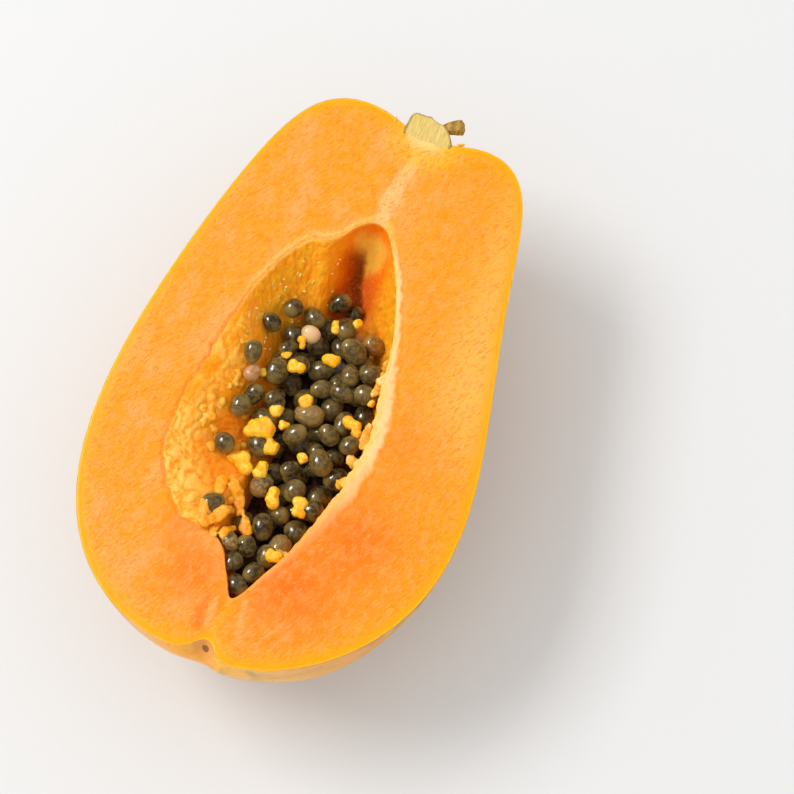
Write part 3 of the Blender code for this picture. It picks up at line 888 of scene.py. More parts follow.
def seed_places(ground, random):
    """Where the seeds lie: each takes the lowest of some random places, until the heap is full."""
    low, high = MOUTH_RAYS.min(axis=0), MOUTH_RAYS.max(axis=0)
    places = []
    for x, y, depth in STRAYS:
        radius = SEED_RADIUS * random.uniform(0.9, 1.04)
        rest = ground.surface(x, y) + radius * STRAY_SUNK
        places.append((x, y, min(max(rest, -depth), -radius - STRAY_CLEAR), radius))
        ground.balls.append(places[-1])
    failed = 0
    while failed < PATIENCE:
        radius = SEED_RADIUS * random.choice(SEED_SIZES)
        best = None
        for _ in range(SEED_CANDIDATES):
            x, y = random.uniform(low[0], high[0]), random.uniform(low[1], HEAP_END_Y)
            if ground.surface(x, y) > -LEAST_DEPTH:
                continue
            z = ground.rest(x, y, radius)
            proud = z + radius + heap_depth(y) + gap_depth(x, y)
            if best is None or proud < best[0]:
                best = (proud, x, y, z)
        if best is None or best[0] > SEED_PROUD:
            failed += 1
            continue
        places.append((*best[1:], radius))
        ground.balls.append(places[-1])
    return places


def seed_shape(mould, place, random, wrinkled, share):
    """One seed as points, faces and painted values."""
    shape, faces = mould
    x, y, z, radius = place
    size = share * radius / SEED_RADIUS
    half = np.array([mean * random.uniform(low, high) for mean, low, high in SEED_MEASURES]) * size / 2
    points = shape * half
    bend = random.uniform(-0.02, 0.02)
    points[:, 1] += bend * points[:, 0] ** 2
    own = 0.035 * field(points + np.array((x, y, z)) * 3, 2.6, 2, 41)
    if wrinkled:
        own = own + 0.11 * (0.35 - np.abs(field(points + np.array((x, y, z)), 1.3, 2, 42)))
    points = points * (1 + own[:, None])
    turn = Euler((random.uniform(0, 6.28), random.gauss(0, 0.35), random.uniform(0, 6.28)))
    points = points @ np.array(turn.to_matrix()).T + np.array((x, y, z))
    values = {"tone": np.full(len(points), random.uniform(0, 1)), "tip": np.abs(shape[:, 0])}
    return points, faces, values


def nearest(places, spot):
    """The index of the seed closest to a spot, where one that lies higher counts as closer."""
    gaps = [math.hypot(x - spot[0], y - spot[1]) - 0.25 * z for x, y, z, _ in places]
    return int(np.argmin(gaps))


def seeds(ground):
    random = Random(7)
    places = seed_places(ground, random)
    kind_of = ["dark"] * len(places)
    for kind, spots in KINDS.items():
        for spot in spots:
            kind_of[nearest(places, spot)] = kind
    fine = seed_mould(2 * SEED_SIDES, 2 * SEED_RINGS)
    plain = seed_mould(SEED_SIDES, SEED_RINGS)
    shapes = {kind: [] for kind in ("dark", *KINDS)}
    for place, kind in zip(places, kind_of):
        mould = fine if kind == "rough" else plain
        share = KIND_SIZES.get(kind, 1.0)
        shapes[kind].append(seed_shape(mould, place, random, kind == "rough", share))
    print("seeds", len(places))
    return {kind: joined("seeds_" + kind, made) for kind, made in shapes.items()}


# ---------------------------------------------------------------- torn pulp
# Lumps between the seeds: place and size.
LUMPS = ((-14.6, -18.4, 3.2), (-12.0, -21.4, 4.4), (-8.4, -22.6, 3.2), (-15.0, -31.0, 3.6),
         (-8.8, -30.0, 2.9), (-10.4, -11.8, 3.6), (-2.4, -8.2, 3.0), (-10.2, 3.0, 2.6),
         (-1.9, 7.4, 2.8), (-17.6, -1.6, 1.9), (-14.0, 5.4, 1.6), (-11.4, 11.4, 2.0),
         (-3.6, 19.4, 2.4), (0.4, 21.0, 2.4), (11.0, -7.6, 2.8), (13.6, -10.4, 2.0),
         (0.6, -35.6, 3.2), (5.6, -34.8, 2.7), (8.8, -37.0, 2.2), (4.0, -22.8, 2.0),
         (14.6, 1.2, 1.8), (5.9, -53.4, 2.8), (-5.4, -14.6, 1.9))
# Bands torn off the shelf: where each starts, passes and ends, and its half width.
STRANDS = (((-12.9, -37.2), (-10.6, -39.1), (-7.3, -44.3), 1.9),
           ((-11.1, -44.7), (-11.8, -47.2), (-14.9, -52.6), 2.0),
           ((-11.7, -50.0), (-11.6, -52.4), (-10.5, -54.6), 1.4),
           ((-7.3, -48.5), (-8.2, -51.0), (-8.5, -54.0), 1.4),
           ((-5.5, -45.2), (-4.2, -47.6), (-2.3, -49.5), 1.7),
           ((-15.6, -36.6), (-15.4, -39.4), (-14.3, -42.0), 1.7),
           ((-17.6, -46.0), (-16.0, -49.0), (-15.6, -52.4), 1.3))
# Flaps of lining that hang from the lip over the seeds.
FLAPS = (((17.6, -7.0), (17.2, -11.0), (19.5, -14.6), 1.7),
         ((20.6, -20.9), (17.7, -18.6), (14.9, -17.0), 1.8),
         ((19.9, -26.6), (17.6, -25.7), (15.0, -25.2), 1.9),
         ((16.6, 8.0), (15.5, 4.8), (14.1, 2.4), 1.4),
         ((14.8, 12.4), (14.9, 10.8), (14.3, 9.0), 1.0),
         ((10.6, -51.8), (8.8, -50.8), (7.0, -51.4), 1.2))
SHELF_CLUMPS = 16
PULP_VOXEL = 0.34
PULP_TOP = -0.5               # no lump or tuft stands higher than this
STRAND_TOP = -0.1
STRAND_DEEPEST = 8.0


def lump_balls(ground, place, random):
    """Lobes of one soft lump that fills the hollow between the seeds round it."""
    x, y, size = place
    near = [(x + 0.5 * size * math.cos(turn), y + 0.5 * size * math.sin(turn)) for turn in range(6)]
    x, y = min([(x, y), *near], key=lambda spot: ground.surface(*spot))
    level = max(ground.surface(x, y), -heap_depth(y) - size)
    turn = random.uniform(0, math.pi)
    balls = []
    for _ in range(6):
        along, across = random.gauss(0, 0.32) * size, random.gauss(0, 0.20) * size
        dx = along * math.cos(turn) - across * math.sin(turn)
        dy = along * math.sin(turn) + across * math.cos(turn)
        radius = size * random.uniform(0.42, 0.60)
        z = level + random.uniform(0.1, 0.4) * size
        balls.append((x + dx, y + dy, min(z, PULP_TOP - radius), radius))
    return balls


def strand_balls(ground, strand, random, height):
    """A soft flat band that bends once and thins out towards its ends."""
    start, middle, end, wide = (np.array(part) for part in strand)
    control = 2 * middle - (start + end) / 2
    steps = 20
    rows = []
    for k in range(steps):
        t = k / (steps - 1)
        place = (1 - t) ** 2 * start + 2 * t * (1 - t) * control + t * t * end
        run = (1 - t) * (control - start) + t * (end - control)
        side = np.array((run[1], -run[0])) / np.linalg.norm(run)
        half = wide * (0.50 + 0.50 * math.sin(math.pi * (0.12 + 0.80 * t))) * random.uniform(0.88, 1.12)
        rows.append([(*(place + side * half * across), half * share)
                     for across, share in ((-0.55, 0.40), (0.0, 0.52), (0.55, 0.40))])
    heights = [max(-STRAND_DEEPEST, *(ground.surface(x, y) for x, y, _ in row)) for row in rows]
    heights = np.convolve(np.pad(heights, 3, "edge"), np.ones(7) / 7, "valid")
    balls = []
    for row, level in zip(rows, heights):
        for x, y, radius in row:
            z = min(level + height * radius + random.gauss(0, 0.12), STRAND_TOP - radius)
            balls.append((x + random.gauss(0, 0.14), y + random.gauss(0, 0.14), z, radius))
    return balls


def shelf_balls(ground, random):
    """Soft tufts all over the torn shelf."""
    shelf, slope, _ = wall_weights(SMOOTH_MOUTH)
    usable = np.flatnonzero(shelf + 0.25 * slope > 0.6)
    balls = []
    for _ in range(SHELF_CLUMPS):
        mouth = SMOOTH_MOUTH[random.choice(usable)]
        place = CAVITY_CENTRE + (mouth - CAVITY_CENTRE) * random.uniform(0.42, 0.94)
        turn, size = random.uniform(0, 2 * math.pi), random.uniform(1.1, 2.3)
        for k in range(5):
            away = (k - 2) * 0.45 * size
            x = place[0] + away * math.cos(turn) + random.gauss(0, 0.35) * size
            y = place[1] + away * math.sin(turn) + random.gauss(0, 0.35) * size
            radius = size * random.uniform(0.55, 0.9)
            z = ground.surface(x, y) - radius * random.uniform(0.55, 0.80)
            balls.append((x, y, min(z, PULP_TOP - radius), radius))
    return balls


def melted(name, balls, seed):
    """One soft closed skin round overlapping balls, with folds and a painted highlight value on the fold
    crests that face up.
    """
    mould, faces = seed_mould(12, 7)
    raw = joined(name + "_raw", [(mould * r + np.array((x, y, z)), faces, {}) for x, y, z, r in balls])
    melt = raw.modifiers.new("melt", "REMESH")
    melt.mode = "VOXEL"
    melt.voxel_size = PULP_VOXEL * MM
    soften = raw.modifiers.new("soften", "SMOOTH")
    soften.factor = 0.5
    soften.iterations = 7
    made = raw.evaluated_get(bpy.context.evaluated_depsgraph_get())
    mesh = bpy.data.meshes.new_from_object(made)
    bpy.data.objects.remove(raw)
    points = np.array([vertex.co for vertex in mesh.vertices])
    normals = np.array([vertex.normal for vertex in mesh.vertices])
    points = (points - PLACE) / MM
    folds = 1 - 2 * np.abs(field(points, 2.2, 2, seed))
    points += normals * (0.20 * folds + 0.05 * field(points, 0.7, 2, seed + 1))[:, None]
    thing = closed_mesh(name, points, [tuple(face.vertices) for face in mesh.polygons])
    bpy.data.meshes.remove(mesh)
    # Painted highlight: the fold crests that face up are paler.
    paint(thing, "highlight_and_cream", ramp(folds, 0.0, 0.9) * ramp(normals[:, 2], 0.0, 0.8))
    return thing


def pulp_lumps(ground):
    random = Random(21)
    balls = [ball for place in LUMPS for ball in lump_balls(ground, place, random)]
    return melted("pulp_lumps", balls, 71)


def torn_bands(name, ground, strands, height, place_seed, fold_seed):
    """All the torn bands of one list, lifted by a share of their thickness."""
    random = Random(place_seed)
    balls = [ball for strand in strands for ball in strand_balls(ground, strand, random, height)]
    return melted(name, balls, fold_seed)


def shelf_tufts(ground):
    return melted("torn_tufts_on_shelf", shelf_balls(ground, Random(44)), 73)


PAPILLAE = 40
PAPILLA_LENGTH = 1.5


def papillae(fruit_ground):
    """Short pale threads on the upper left wall, where seeds were once held."""
    random = Random(9)
    _, slope, _ = wall_weights(SMOOTH_MOUTH)
    usable = np.flatnonzero(slope > 0.3)
    mould, faces = seed_mould(10, 6)
    shapes = []
    while len(shapes) < PAPILLAE:
        mouth = SMOOTH_MOUTH[random.choice(usable)]
        x, y = CAVITY_CENTRE + (mouth - CAVITY_CENTRE) * random.uniform(0.60, 0.93)
        size = random.uniform(0.5, 1.0)
        half = np.array((0.5 * PAPILLA_LENGTH * size, 0.24 * size + 0.08, 0.20 * size + 0.06))
        turn = Euler((0, random.uniform(-1.0, -0.3), random.uniform(0.2, 1.8)))
        points = (mould * half) @ np.array(turn.to_matrix()).T
        points = points + np.array((x, y, fruit_ground.surface(x, y) + 0.10))
        shapes.append((points, faces, {"highlight_and_cream": np.full(len(points), 2.0)}))
    return joined("papillae", shapes)


# ---------------------------------------------------------------- stem
# Cross-sections of the stem: place along the fruit, half width and middle.
STEM_RINGS = ((79.2, 5.6, -1.0), (81.0, 7.4, -0.6), (83.0, 7.7, -0.6), (85.0, 7.0, -1.1),
              (87.0, 6.2, -1.8), (88.3, 4.7, -2.7), (89.3, 1.7, -4.3))
STEM_SIDES = 26
STEM_FACE_STEPS = 26
STEM_DEPTH = 0.93
# The torn strip of bark: its middle line, and its half width at each point of it.
BARK_LINE = ((2.6, 87.4), (4.4, 88.4), (6.2, 89.3), (7.6, 90.0), (8.4, 90.4))
BARK_WIDTHS = (1.3, 1.9, 2.3, 2.4, 1.9)
STEM_RAGGED = 0.7             # how far its torn end is uneven
STEM_FOOT_SUNK = 0.7          # the foot dips into the flesh
BARK_SIDES = 28
BARK_HEIGHT = -1.0
BARK_FLATNESS = 0.62
TORN_BIT_HEIGHT = -0.55
# Bits of flesh torn up beside the stem: place, size and turn.
TORN_BITS = ((-11.9, 84.6, 1.2, 1.9), (-10.6, 84.0, 0.9, 2.4),
             (9.0, 83.6, 1.2, 1.2), (10.0, 84.4, 0.8, 0.8))


def torn_bits():
    """The small yellow points of flesh that stand beside the stem's foot."""
    mould, faces = seed_mould(16, 9)
    shapes = []
    for x, y, size, turn in TORN_BITS:
        half = np.array((size, 0.55 * size, 0.5 * size))
        points = (mould * half) @ np.array(Euler((0, 0.25, turn)).to_matrix()).T
        points = points * (1 + 0.25 * field(points + np.array((x, y, 0)), 1.2, 2, 54)[:, None])
        points = points + np.array((x, y, TORN_BIT_HEIGHT))
        shapes.append((points, faces, {"highlight_and_cream": np.full(len(points), 0.3)}))
    return joined("torn_bits_by_stem", shapes)


def closed_tube(rings, ends, rind, rind_at_ends):
    """A tube through rings of points, closed at each end by a fan round one more point."""
    count, around = rings.shape[:2]
    faces = []
    for j in range(around):
        k = (j + 1) % around
        for i in range(count - 1):
            row = i * around
            faces.append((row + j, row + k, row + around + k, row + around + j))
        last = (count - 1) * around
        faces.append((j, k, count * around))
        faces.append((last + k, last + j, count * around + 1))
    points = np.concatenate((rings.reshape(-1, 3), ends))
    return points, faces, {"rind": np.concatenate((rind.ravel(), rind_at_ends))}


def stem_core():
    """The cut stem: pale and flat above, round and barked below."""
    rings = np.array(STEM_RINGS)
    y = np.linspace(rings[0, 0], rings[-1, 0], 46)
    wide = np.interp(y, rings[:, 0], rings[:, 1])
    middle = np.interp(y, rings[:, 0], rings[:, 2])
    rows = []
    for yy, half, mid in zip(y, wide, middle):
        across = np.linspace(1, -1, STEM_FACE_STEPS)[1:-1]
        around = np.linspace(math.pi, 2 * math.pi, STEM_SIDES)
        flat = [(mid + half * 0.985 * a, yy, 0.0) for a in across]
        bark = [(mid + half * math.cos(a), yy, half * STEM_DEPTH * math.sin(a)) for a in around]
        rows.append(flat + bark)
    points = np.array(rows)
    flat_count = STEM_FACE_STEPS - 2
    fibre = field(points, (0.8, 7.0, 0.8), 3, 51)
    points[:, :flat_count, 2] += -0.10 + 0.14 * fibre[:, :flat_count]
    points[:, flat_count + 1:-1, 2] += 0.28 * fibre[:, flat_count + 1:-1] - 0.1
    ragged = STEM_RAGGED * field(points * np.array((1, 0, 1)), (2.2, 1.0, 2.2), 3, 52)
    points[..., 1] += ramp(points[..., 1], 84.5, 88.5) * ragged
    points[..., 2] -= STEM_FOOT_SUNK * ramp(points[..., 1], 81.6, 80.0)
    rind = np.zeros(points.shape[:2])
    rind[:, flat_count:] = 1
    rind[:, (0, flat_count - 1)] = 0.6
    rind[-3:, :flat_count] = 0.6
    ends = (points[0].mean(axis=0), points[-1].mean(axis=0) + np.array((0, -0.5, 0)))
    return closed_tube(points, ends, rind, (1, 0.6))


def bark_flap():
    """The torn strip of bark at the stem's corner: a short, ridged, bent finger."""
    line = np.array(BARK_LINE)
    share = np.linspace(0, 1, 22)
    at = fractions_of(line)
    path = np.column_stack([np.interp(share, at, line[:, k]) for k in range(2)])
    wide = np.interp(share, at, BARK_WIDTHS)
    wide = wide * (1 - 0.45 * ramp(share, 0.88, 1.0))
    run = np.gradient(path, axis=0)
    run = run / np.linalg.norm(run, axis=1, keepdims=True)
    side = np.column_stack((run[:, 1], -run[:, 0]))
    turn = np.linspace(0, 2 * math.pi, BARK_SIDES, endpoint=False)
    out = wide[:, None] * (1 + 0.09 * np.cos(7 * turn) + 0.04 * np.cos(13 * turn + 1))
    plan = path[:, None] + side[:, None] * (out * np.cos(turn))[..., None]
    height = BARK_HEIGHT + BARK_FLATNESS * out * np.sin(turn)
    points = np.concatenate((plan, height[..., None]), axis=-1)
    points += 0.18 * field(points, 1.6, 3, 53)[..., None] * np.array((0.7, 0.7, 1))
    ends = (points[0].mean(axis=0), points[-1].mean(axis=0) + np.array((-0.3, -0.4, 0)))
    return closed_tube(points, ends, np.full(points.shape[:2], 2.0), (2.0, 2.0))


# ---------------------------------------------------------------- shader helpers
class Shader:
    """A Principled material whose nodes are added one call at a time."""

    def __init__(self, name, **numbers):
        self.material = bpy.data.materials.new(name)
        self.material.use_nodes = True
        self.tree = self.material.node_tree
        self.principled = self.tree.nodes["Principled BSDF"]
        for socket, value in numbers.items():
            self.set(socket.replace("_", " "), value)
        self.place = self.add("ShaderNodeTexCoord").outputs["Object"]

    def add(self, kind, **inputs):
        node = self.tree.nodes.new(kind)
        for name, value in inputs.items():
            self.feed(node.inputs[name.replace("_", " ")], value)
        return node

    def feed(self, socket, value):
        if isinstance(value, bpy.types.NodeSocket):
            self.tree.links.new(value, socket)
        elif isinstance(value, np.ndarray) and socket.type == "RGBA":
            socket.default_value = (*value, 1)
        else:
            socket.default_value = value

    def set(self, name, value):
        self.feed(self.principled.inputs[name], value)

    def stretched(self, size, turn=0.0):
        """Coordinates in which a length of size, one number or three, is 1, turned about Z."""
        place = self.place
        if turn:
            back = Euler((0, 0, -math.radians(turn)))
            place = self.add("ShaderNodeMapping", Vector=place, Rotation=back).outputs["Vector"]
        scale = Vector(1 / (part * MM) for part in np.broadcast_to(size, (3,)))
        return self.add("ShaderNodeMapping", Vector=place, Scale=scale).outputs["Vector"]

    def noise(self, size, detail=2.0, roughness=0.5, twist=0.0, turn=0.0):
        place = self.stretched(size, turn)
        made = self.add("ShaderNodeTexNoise", Vector=place, Scale=1.0, Detail=detail,
                        Roughness=roughness, Distortion=twist)
        return made.outputs["Fac"]

    def cells(self, size):
        return self.add("ShaderNodeTexVoronoi", Vector=self.stretched(size), Scale=1.0).outputs["Distance"]

    def attribute(self, name, colour=False):
        made = self.add("ShaderNodeAttribute")
        made.attribute_name = name
        return made.outputs["Color" if colour else "Fac"]

    def ramp(self, value, start, full, low=0.0, high=1.0):
        made = self.add("ShaderNodeMapRange", Value=value, From_Min=start, From_Max=full,
                        To_Min=low, To_Max=high)
        made.interpolation_type = "SMOOTHSTEP"
        return made.outputs["Result"]

    def times(self, a, b):
        return self.math("MULTIPLY", a, b)

    def layered(self, base, *layers):
        """A base colour, with each (share, colour) laid over it in turn."""
        for share, colour in layers:
            base = self.mix(share, base, colour)
        return base

    def math(self, operation, a, b):
        made = self.tree.nodes.new("ShaderNodeMath")
        made.operation = operation
        self.feed(made.inputs[0], a)
        self.feed(made.inputs[1], b)
        return made.outputs[0]

    def mix(self, share, a, b):
        made = self.tree.nodes.new("ShaderNodeMix")
        made.data_type = "RGBA"
        self.feed(made.inputs[0], share)
        self.feed(made.inputs[6], a)
        self.feed(made.inputs[7], b)
        return made.outputs[2]

    def bump(self, height, depth, below=None):
        """A relief of the given depth in millimetres."""
        made = self.add("ShaderNodeBump", Height=height, Distance=depth * MM, Strength=1.0)
        if below is not None:
            self.feed(made.inputs["Normal"], below)
        return made.outputs["Normal"]


KNIFE_MARKS_TURN = 57.0       # degrees from across the fruit
KNIFE_FLECK = srgb(240, 134, 2)
KNIFE_PALE = srgb(255, 176, 98)


def flesh_material():
    """Moist flesh: painted zones, pink and yellow mottling, and small dents from the knife."""
    look = Shader("flesh", Roughness=0.42, Specular_IOR_Level=0.12, Subsurface_Weight=0.6,
                  Subsurface_Scale=0.003, Subsurface_Radius=(1.0, 0.35, 0.08))
    pulpy = look.attribute("pulpy")
    rough = look.math("SUBTRACT", look.math("SUBTRACT", 1.0, pulpy), look.attribute("calm"))
    mottle = look.ramp(look.noise((2.4, 3.8, 2.4), 3.0, 0.6), 0.40, 0.66, 0.0, 0.40)
    dents = look.noise((1.7, 0.62, 1.0), 2.0, 0.6, 0.8, KNIFE_MARKS_TURN)
    strands = look.noise((0.9, 0.9, 0.9), 4.0, 0.65, 1.2)
    look.set("Base Color", look.layered(
        look.attribute("tint", colour=True),
        (look.times(mottle, rough), FLESH_PINK),
        (look.times(look.ramp(dents, 0.48, 0.33, 0.0, 0.75), rough), KNIFE_FLECK),
        (look.times(look.ramp(dents, 0.56, 0.72, 0.0, 0.40), rough), KNIFE_PALE),
        (look.times(look.ramp(strands, 0.52, 0.70, 0.0, 0.30), pulpy), PULP_CREAM),
        (look.times(look.ramp(strands, 0.46, 0.30, 0.0, 0.30), pulpy), WALL_ORANGE)))
    knife = look.bump(look.times(dents, rough), 0.35)
    fine = look.bump(look.noise(0.45), 0.05, knife)
    look.set("Normal", look.bump(look.times(strands, pulpy), 0.35, fine))
    return look.material


SKIN_GOLD = srgb(238, 160, 12)
SKIN_YELLOW = srgb(250, 178, 34)
SKIN_ORANGE = srgb(236, 134, 12)
SKIN_OLIVE = srgb(150, 128, 34)
SKIN_TAN = srgb(176, 122, 22)
SKIN_FRECKLE = srgb(70, 50, 20)
SCAR_RING = srgb(206, 128, 62)


def skin_material():
    """Thin ripe skin: yellow to orange, green-olive in patches, with dark freckles."""
    look = Shader("skin", Roughness=0.38, Subsurface_Weight=0.08, Subsurface_Scale=0.0015,
                  Subsurface_Radius=(1.0, 0.5, 0.1), Coat_Weight=0.25, Coat_Roughness=0.28)
    freckle = look.ramp(look.cells(5.4), 0.13, 0.06)
    here_and_there = look.ramp(look.noise(21.0), 0.47, 0.60)
    scar = look.attribute("scar")
    look.set("Base Color", look.layered(
        SKIN_GOLD,
        (look.ramp(look.noise(38.0, 3.0, 0.55), 0.36, 0.66), SKIN_YELLOW),
        (look.ramp(look.noise(17.0, 3.0, 0.6), 0.50, 0.72, 0.0, 0.6), SKIN_ORANGE),
        (look.ramp(look.noise((26.0, 34.0, 26.0), 5.0, 0.62, 0.6), 0.54, 0.70, 0.0, 0.75), SKIN_OLIVE),
        (look.ramp(look.noise(3.2, 4.0, 0.7), 0.56, 0.72, 0.0, 0.30), SKIN_TAN),
        (look.times(look.times(freckle, here_and_there), 0.85), SKIN_FRECKLE),
        (look.ramp(scar, 0.0, 0.35, 0.0, 0.6), SCAR_RING),
        (look.ramp(scar, 0.4, 0.9), SCAR_BROWN)))
    look.set("Normal", look.bump(look.noise(4.5), 0.25, look.bump(look.noise(0.8), 0.06)))
    return look.material


# Painted shade seen between the seeds, near-black and dark red-brown.
BED_DEEP_SHADE = srgb(30, 8, 3)
BED_WARM_SHADE = srgb(96, 36, 6)


def bed_material():
    """Painted shade: the near-black to dark red-brown of the shaded seeds and pulp deep in the heap."""
    look = Shader("seed_bed_shade", Roughness=0.4, Specular_IOR_Level=0.3)
    warm = look.ramp(look.noise(3.5, 3.0), 0.40, 0.66)
    look.set("Base Color", look.mix(warm, BED_DEEP_SHADE, BED_WARM_SHADE))
    look.set("Normal", look.bump(look.noise(1.4, 3.0), 0.8))
    return look.material


# Looks of the five kinds of seed: dark and pale clouds, pale tips, roughness and relief.
SEED_LOOKS = {
    "dark": (srgb(42, 30, 12), srgb(100, 82, 38), srgb(138, 112, 54), 0.25, 0.12),
    "rough": (srgb(70, 48, 20), srgb(160, 130, 70), srgb(150, 110, 44), 0.42, 0.6),
    "white": (srgb(214, 172, 120), srgb(230, 196, 148), srgb(206, 160, 104), 0.4, 0.12),
    "pink": (srgb(170, 116, 70), srgb(196, 148, 102), srgb(180, 124, 70), 0.4, 0.3),
    "amber": (srgb(112, 76, 26), srgb(158, 116, 50), srgb(172, 120, 44), 0.3, 0.3),
}
ARIL_SHEEN = srgb(200, 184, 130)


def seed_material(kind):
    """Dark seed in a clear, wet, olive aril: pale where the aril is thick, at the tips."""
    dark, pale, tips, roughness, relief = SEED_LOOKS[kind]
    look = Shader("seed_" + kind, Roughness=roughness, Specular_IOR_Level=0.30, Coat_Weight=0.8,
                  Coat_Roughness=0.06, Coat_IOR=1.42, Subsurface_Weight=0.2, Subsurface_Scale=0.0014,
                  Subsurface_Radius=(1.0, 0.6, 0.2), Sheen_Weight=0.3, Sheen_Roughness=0.35,
                  Sheen_Tint=ARIL_SHEEN)
    cloud = look.ramp(look.noise(1.5, 3.0, 0.6), 0.36, 0.66)
    look.set("Base Color", look.layered(
        look.mix(cloud, dark, pale),
        (look.ramp(look.attribute("tone"), 0.30, 1.0, 0.0, 0.6), look.mix(cloud, pale, tips)),
        (look.ramp(look.attribute("tip"), 0.50, 1.0, 0.0, 0.8), tips)))
    look.set("Normal", look.bump(look.noise(1.0, 3.0, 0.55), relief))
    return look.material


# Torn pulp: shaded and plain colours, and a pale colour that is a painted highlight on upward-facing crests
# and the own colour of papillae and torn bits.
PULP_LOOKS = {
    "pulp": (srgb(254, 162, 2), srgb(255, 188, 10), srgb(255, 206, 76)),
    "lining": (srgb(253, 166, 30), srgb(254, 182, 58), srgb(255, 204, 124)),
    "torn_flesh": (srgb(253, 148, 4), srgb(254, 164, 14), srgb(255, 188, 74)),
}
PAPILLA_CREAM = srgb(255, 208, 128)


def pulp_material(name):
    """Torn pulp: wet, slightly see-through, with a painted highlight on its upward-facing crests and cream
    on the papillae.
    """
    deep, plain, pale = PULP_LOOKS[name]
    look = Shader(name, Roughness=0.38, Specular_IOR_Level=0.3, Subsurface_Weight=0.6,
                  Subsurface_Scale=0.002, Subsurface_Radius=(1.0, 0.5, 0.1))
    highlight_and_cream = look.attribute("highlight_and_cream")
    cloud = look.ramp(look.noise(2.6, 3.0, 0.6), 0.36, 0.66)
    patches = look.ramp(look.noise(7.0), 0.42, 0.60, 0.25, 0.95)
    look.set("Base Color", look.layered(
        look.mix(cloud, deep, plain),
        # Painted highlight on the crests, in patches; the papillae and torn bits take the pale colour as
        # their own.
        (look.times(look.ramp(highlight_and_cream, 0.0, 1.0), patches), pale),
        (look.ramp(highlight_and_cream, 1.0, 2.0), PAPILLA_CREAM)))
    look.set("Normal", look.bump(look.noise(0.6, 3.0, 0.6), 0.25))
    return look.material


# Shaded and pale fibres of the stem's cut face, rind and bark.
STEM_FIBRES = (srgb(206, 174, 84), srgb(222, 190, 112))
RIND_FIBRES = (srgb(150, 118, 44), srgb(190, 156, 62))
BARK_FIBRES = (srgb(136, 94, 4), srgb(190, 144, 16))
STEM_GREEN = srgb(208, 184, 80)


def stem_material():
    """Pale fibrous stem, olive at its edge, with brown ridged bark on the torn strip."""
    look = Shader("stem", Roughness=0.55, Subsurface_Weight=0.1, Subsurface_Scale=0.001)
    rind = look.attribute("rind")
    fibres = look.ramp(look.noise((0.7, 5.0, 0.7), 3.0, 0.6), 0.38, 0.66)
    look.set("Base Color", look.layered(
        look.mix(fibres, *STEM_FIBRES),
        (look.ramp(look.noise(3.6, 3.0), 0.42, 0.62, 0.0, 0.5), STEM_GREEN),
        (look.ramp(rind, 0.1, 0.9), look.mix(fibres, *RIND_FIBRES)),
        (look.ramp(rind, 1.1, 1.9), look.mix(fibres, *BARK_FIBRES))))
    look.set("Normal", look.bump(look.noise((0.5, 3.2, 0.5), 3.0), 0.35))
    return look.material


# ---------------------------------------------------------------- stage
AMBIENT = 0.95
AMBIENT_IN_REFLECTIONS = 0.30
SKY_TINT = (0.99, 0.998, 1.0, 1)
LIGHT_TINT = (1.0, 0.99, 0.97)
LIGHT_AZIMUTH = 268.0
LIGHT_ELEVATION = 50.0
# Two area lights on that line: name, distance, size, watts, and whether matt surfaces see it.
LIGHTS = (("key", 2.4, (1.25, 0.8), 34.0, True),
          ("glints", 2.3, (0.55, 0.36), 30.0, False))
FLOOR_HALF = 3.0
PAPER = srgb(212, 212, 212)
PAPER_LIGHT = srgb(214, 214, 214)
CAMERA_AZIMUTH = 22.2
CAMERA_ELEVATION = 72.0
CAMERA_DISTANCE = 0.54
CAMERA_LENS = 85.0
CAMERA_TARGET = (21.9, 2.9, 0.0)


def direction(azimuth, elevation):
    """The way to an azimuth, 0 in front and 90 at the right, and an elevation, in degrees."""
    a, e = math.radians(azimuth), math.radians(elevation)
    return Vector((math.sin(a) * math.cos(e), -math.cos(a) * math.cos(e), math.sin(e)))


def add_camera():
    camera = bpy.data.objects.new("camera", bpy.data.cameras.new("camera"))
    bpy.context.collection.objects.link(camera)
    target = Vector(PLACE) + Vector(CAMERA_TARGET) * MM
    back = direction(CAMERA_AZIMUTH, CAMERA_ELEVATION)
    camera.location = target + back * CAMERA_DISTANCE
    camera.rotation_mode = "QUATERNION"
    camera.rotation_quaternion = (-back).to_track_quat("-Z", "Y")
    camera.data.lens = CAMERA_LENS
    camera.data.clip_start = 0.01
    bpy.context.scene.camera = camera


def add_light(name, distance, size, watts, diffuse):
    light = bpy.data.lights.new(name, "AREA")
    light.shape = "RECTANGLE"
    light.size, light.size_y = size
    light.energy = watts
    light.color = LIGHT_TINT
    lamp = bpy.data.objects.new(name, light)
    back = direction(LIGHT_AZIMUTH, LIGHT_ELEVATION)
    lamp.location = Vector(PLACE) + back * distance
    lamp.rotation_mode = "QUATERNION"
    lamp.rotation_quaternion = (-back).to_track_quat("-Z", "Y")
    lamp.visible_diffuse = diffuse
    bpy.context.collection.objects.link(lamp)


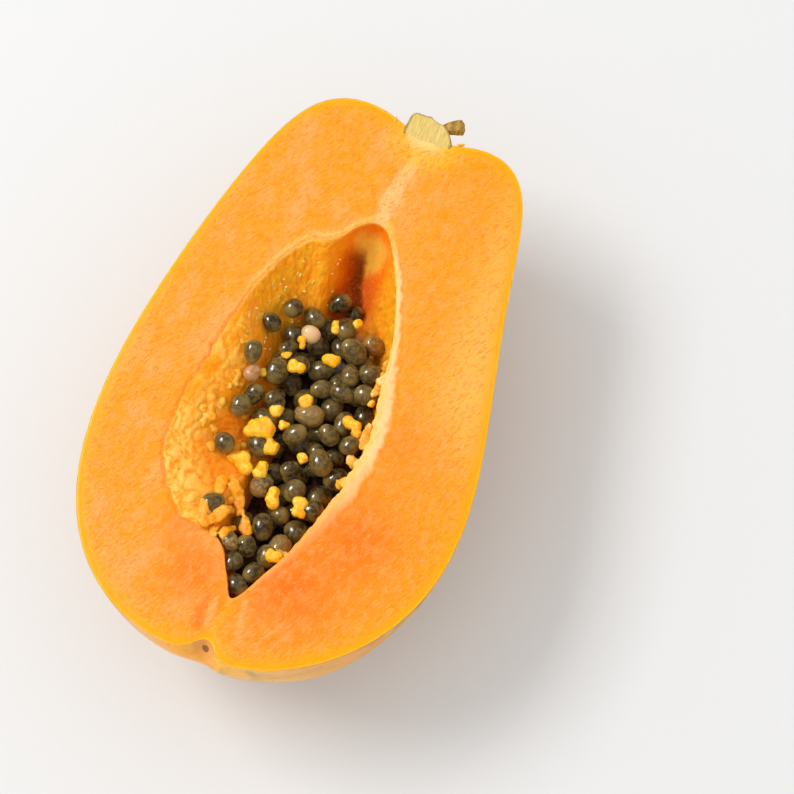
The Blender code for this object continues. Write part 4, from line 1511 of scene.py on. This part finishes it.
def add_surroundings():
    """Soft white light from all round, dimmer in reflections, as in a tent with dark gaps."""
    world = bpy.data.worlds.new("studio")
    world.use_nodes = True
    tree = world.node_tree
    background = tree.nodes["Background"]
    background.inputs["Color"].default_value = SKY_TINT
    rays = tree.nodes.new("ShaderNodeLightPath")
    strength = tree.nodes.new("ShaderNodeMapRange")
    strength.inputs["To Min"].default_value = AMBIENT
    strength.inputs["To Max"].default_value = AMBIENT_IN_REFLECTIONS
    tree.links.new(rays.outputs["Is Glossy Ray"], strength.inputs["Value"])
    tree.links.new(strength.outputs["Result"], background.inputs["Strength"])
    bpy.context.scene.world = world


def add_stage():
    mesh = bpy.data.meshes.new("floor")
    corners = [(x * FLOOR_HALF, y * FLOOR_HALF, 0) for x, y in ((-1, -1), (1, -1), (1, 1), (-1, 1))]
    mesh.from_pydata(corners, [], [(0, 1, 2, 3)])
    floor = bpy.data.objects.new("floor", mesh)
    bpy.context.collection.objects.link(floor)
    paper = Shader("paper", Roughness=0.9)
    paper.set("Base Color", paper.mix(paper.noise(2.0, 3.0), PAPER, PAPER_LIGHT))
    mesh.materials.append(paper.material)
    add_surroundings()
    for light in LIGHTS:
        add_light(*light)
    bpy.context.scene.view_settings.view_transform = "Standard"


def finish(piece, material, slot, *nodes):
    """Give a piece its material, hang it on the root body, and hide the CAD parts it stands in for."""
    piece.data.materials.append(material)
    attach(piece, "root")
    if nodes:
        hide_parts(*nodes)


def main():
    add_camera()
    add_stage()
    fruit = fruit_body()
    fruit.data.materials.append(flesh_material())
    finish(fruit, skin_material(), "fruit", "papaya_half")
    bed = bed_of_seeds()
    finish(bed, bed_material(), "seeds", "seed_heap")
    ground = Ground(fruit, bed)
    for kind, piece in seeds(ground).items():
        finish(piece, seed_material(kind), "seeds")
        ground.add(piece)
    pulp, lining, torn_flesh = (pulp_material(name) for name in PULP_LOOKS)
    finish(pulp_lumps(ground), pulp, "fruit")
    finish(torn_bands("pulp_strands", ground, STRANDS, 0.35, 22, 74), torn_flesh, "fruit")
    finish(torn_bands("torn_lining_at_lip", ground, FLAPS, 0.6, 33, 72), lining, "fruit")
    wall = Ground(fruit)
    finish(shelf_tufts(wall), torn_flesh, "fruit")
    finish(papillae(wall), torn_flesh, "fruit")
    finish(torn_bits(), pulp, "fruit")
    finish(joined("stem_with_bark", [stem_core(), bark_flap()]), stem_material(), "stem", "stem_stub")


main()
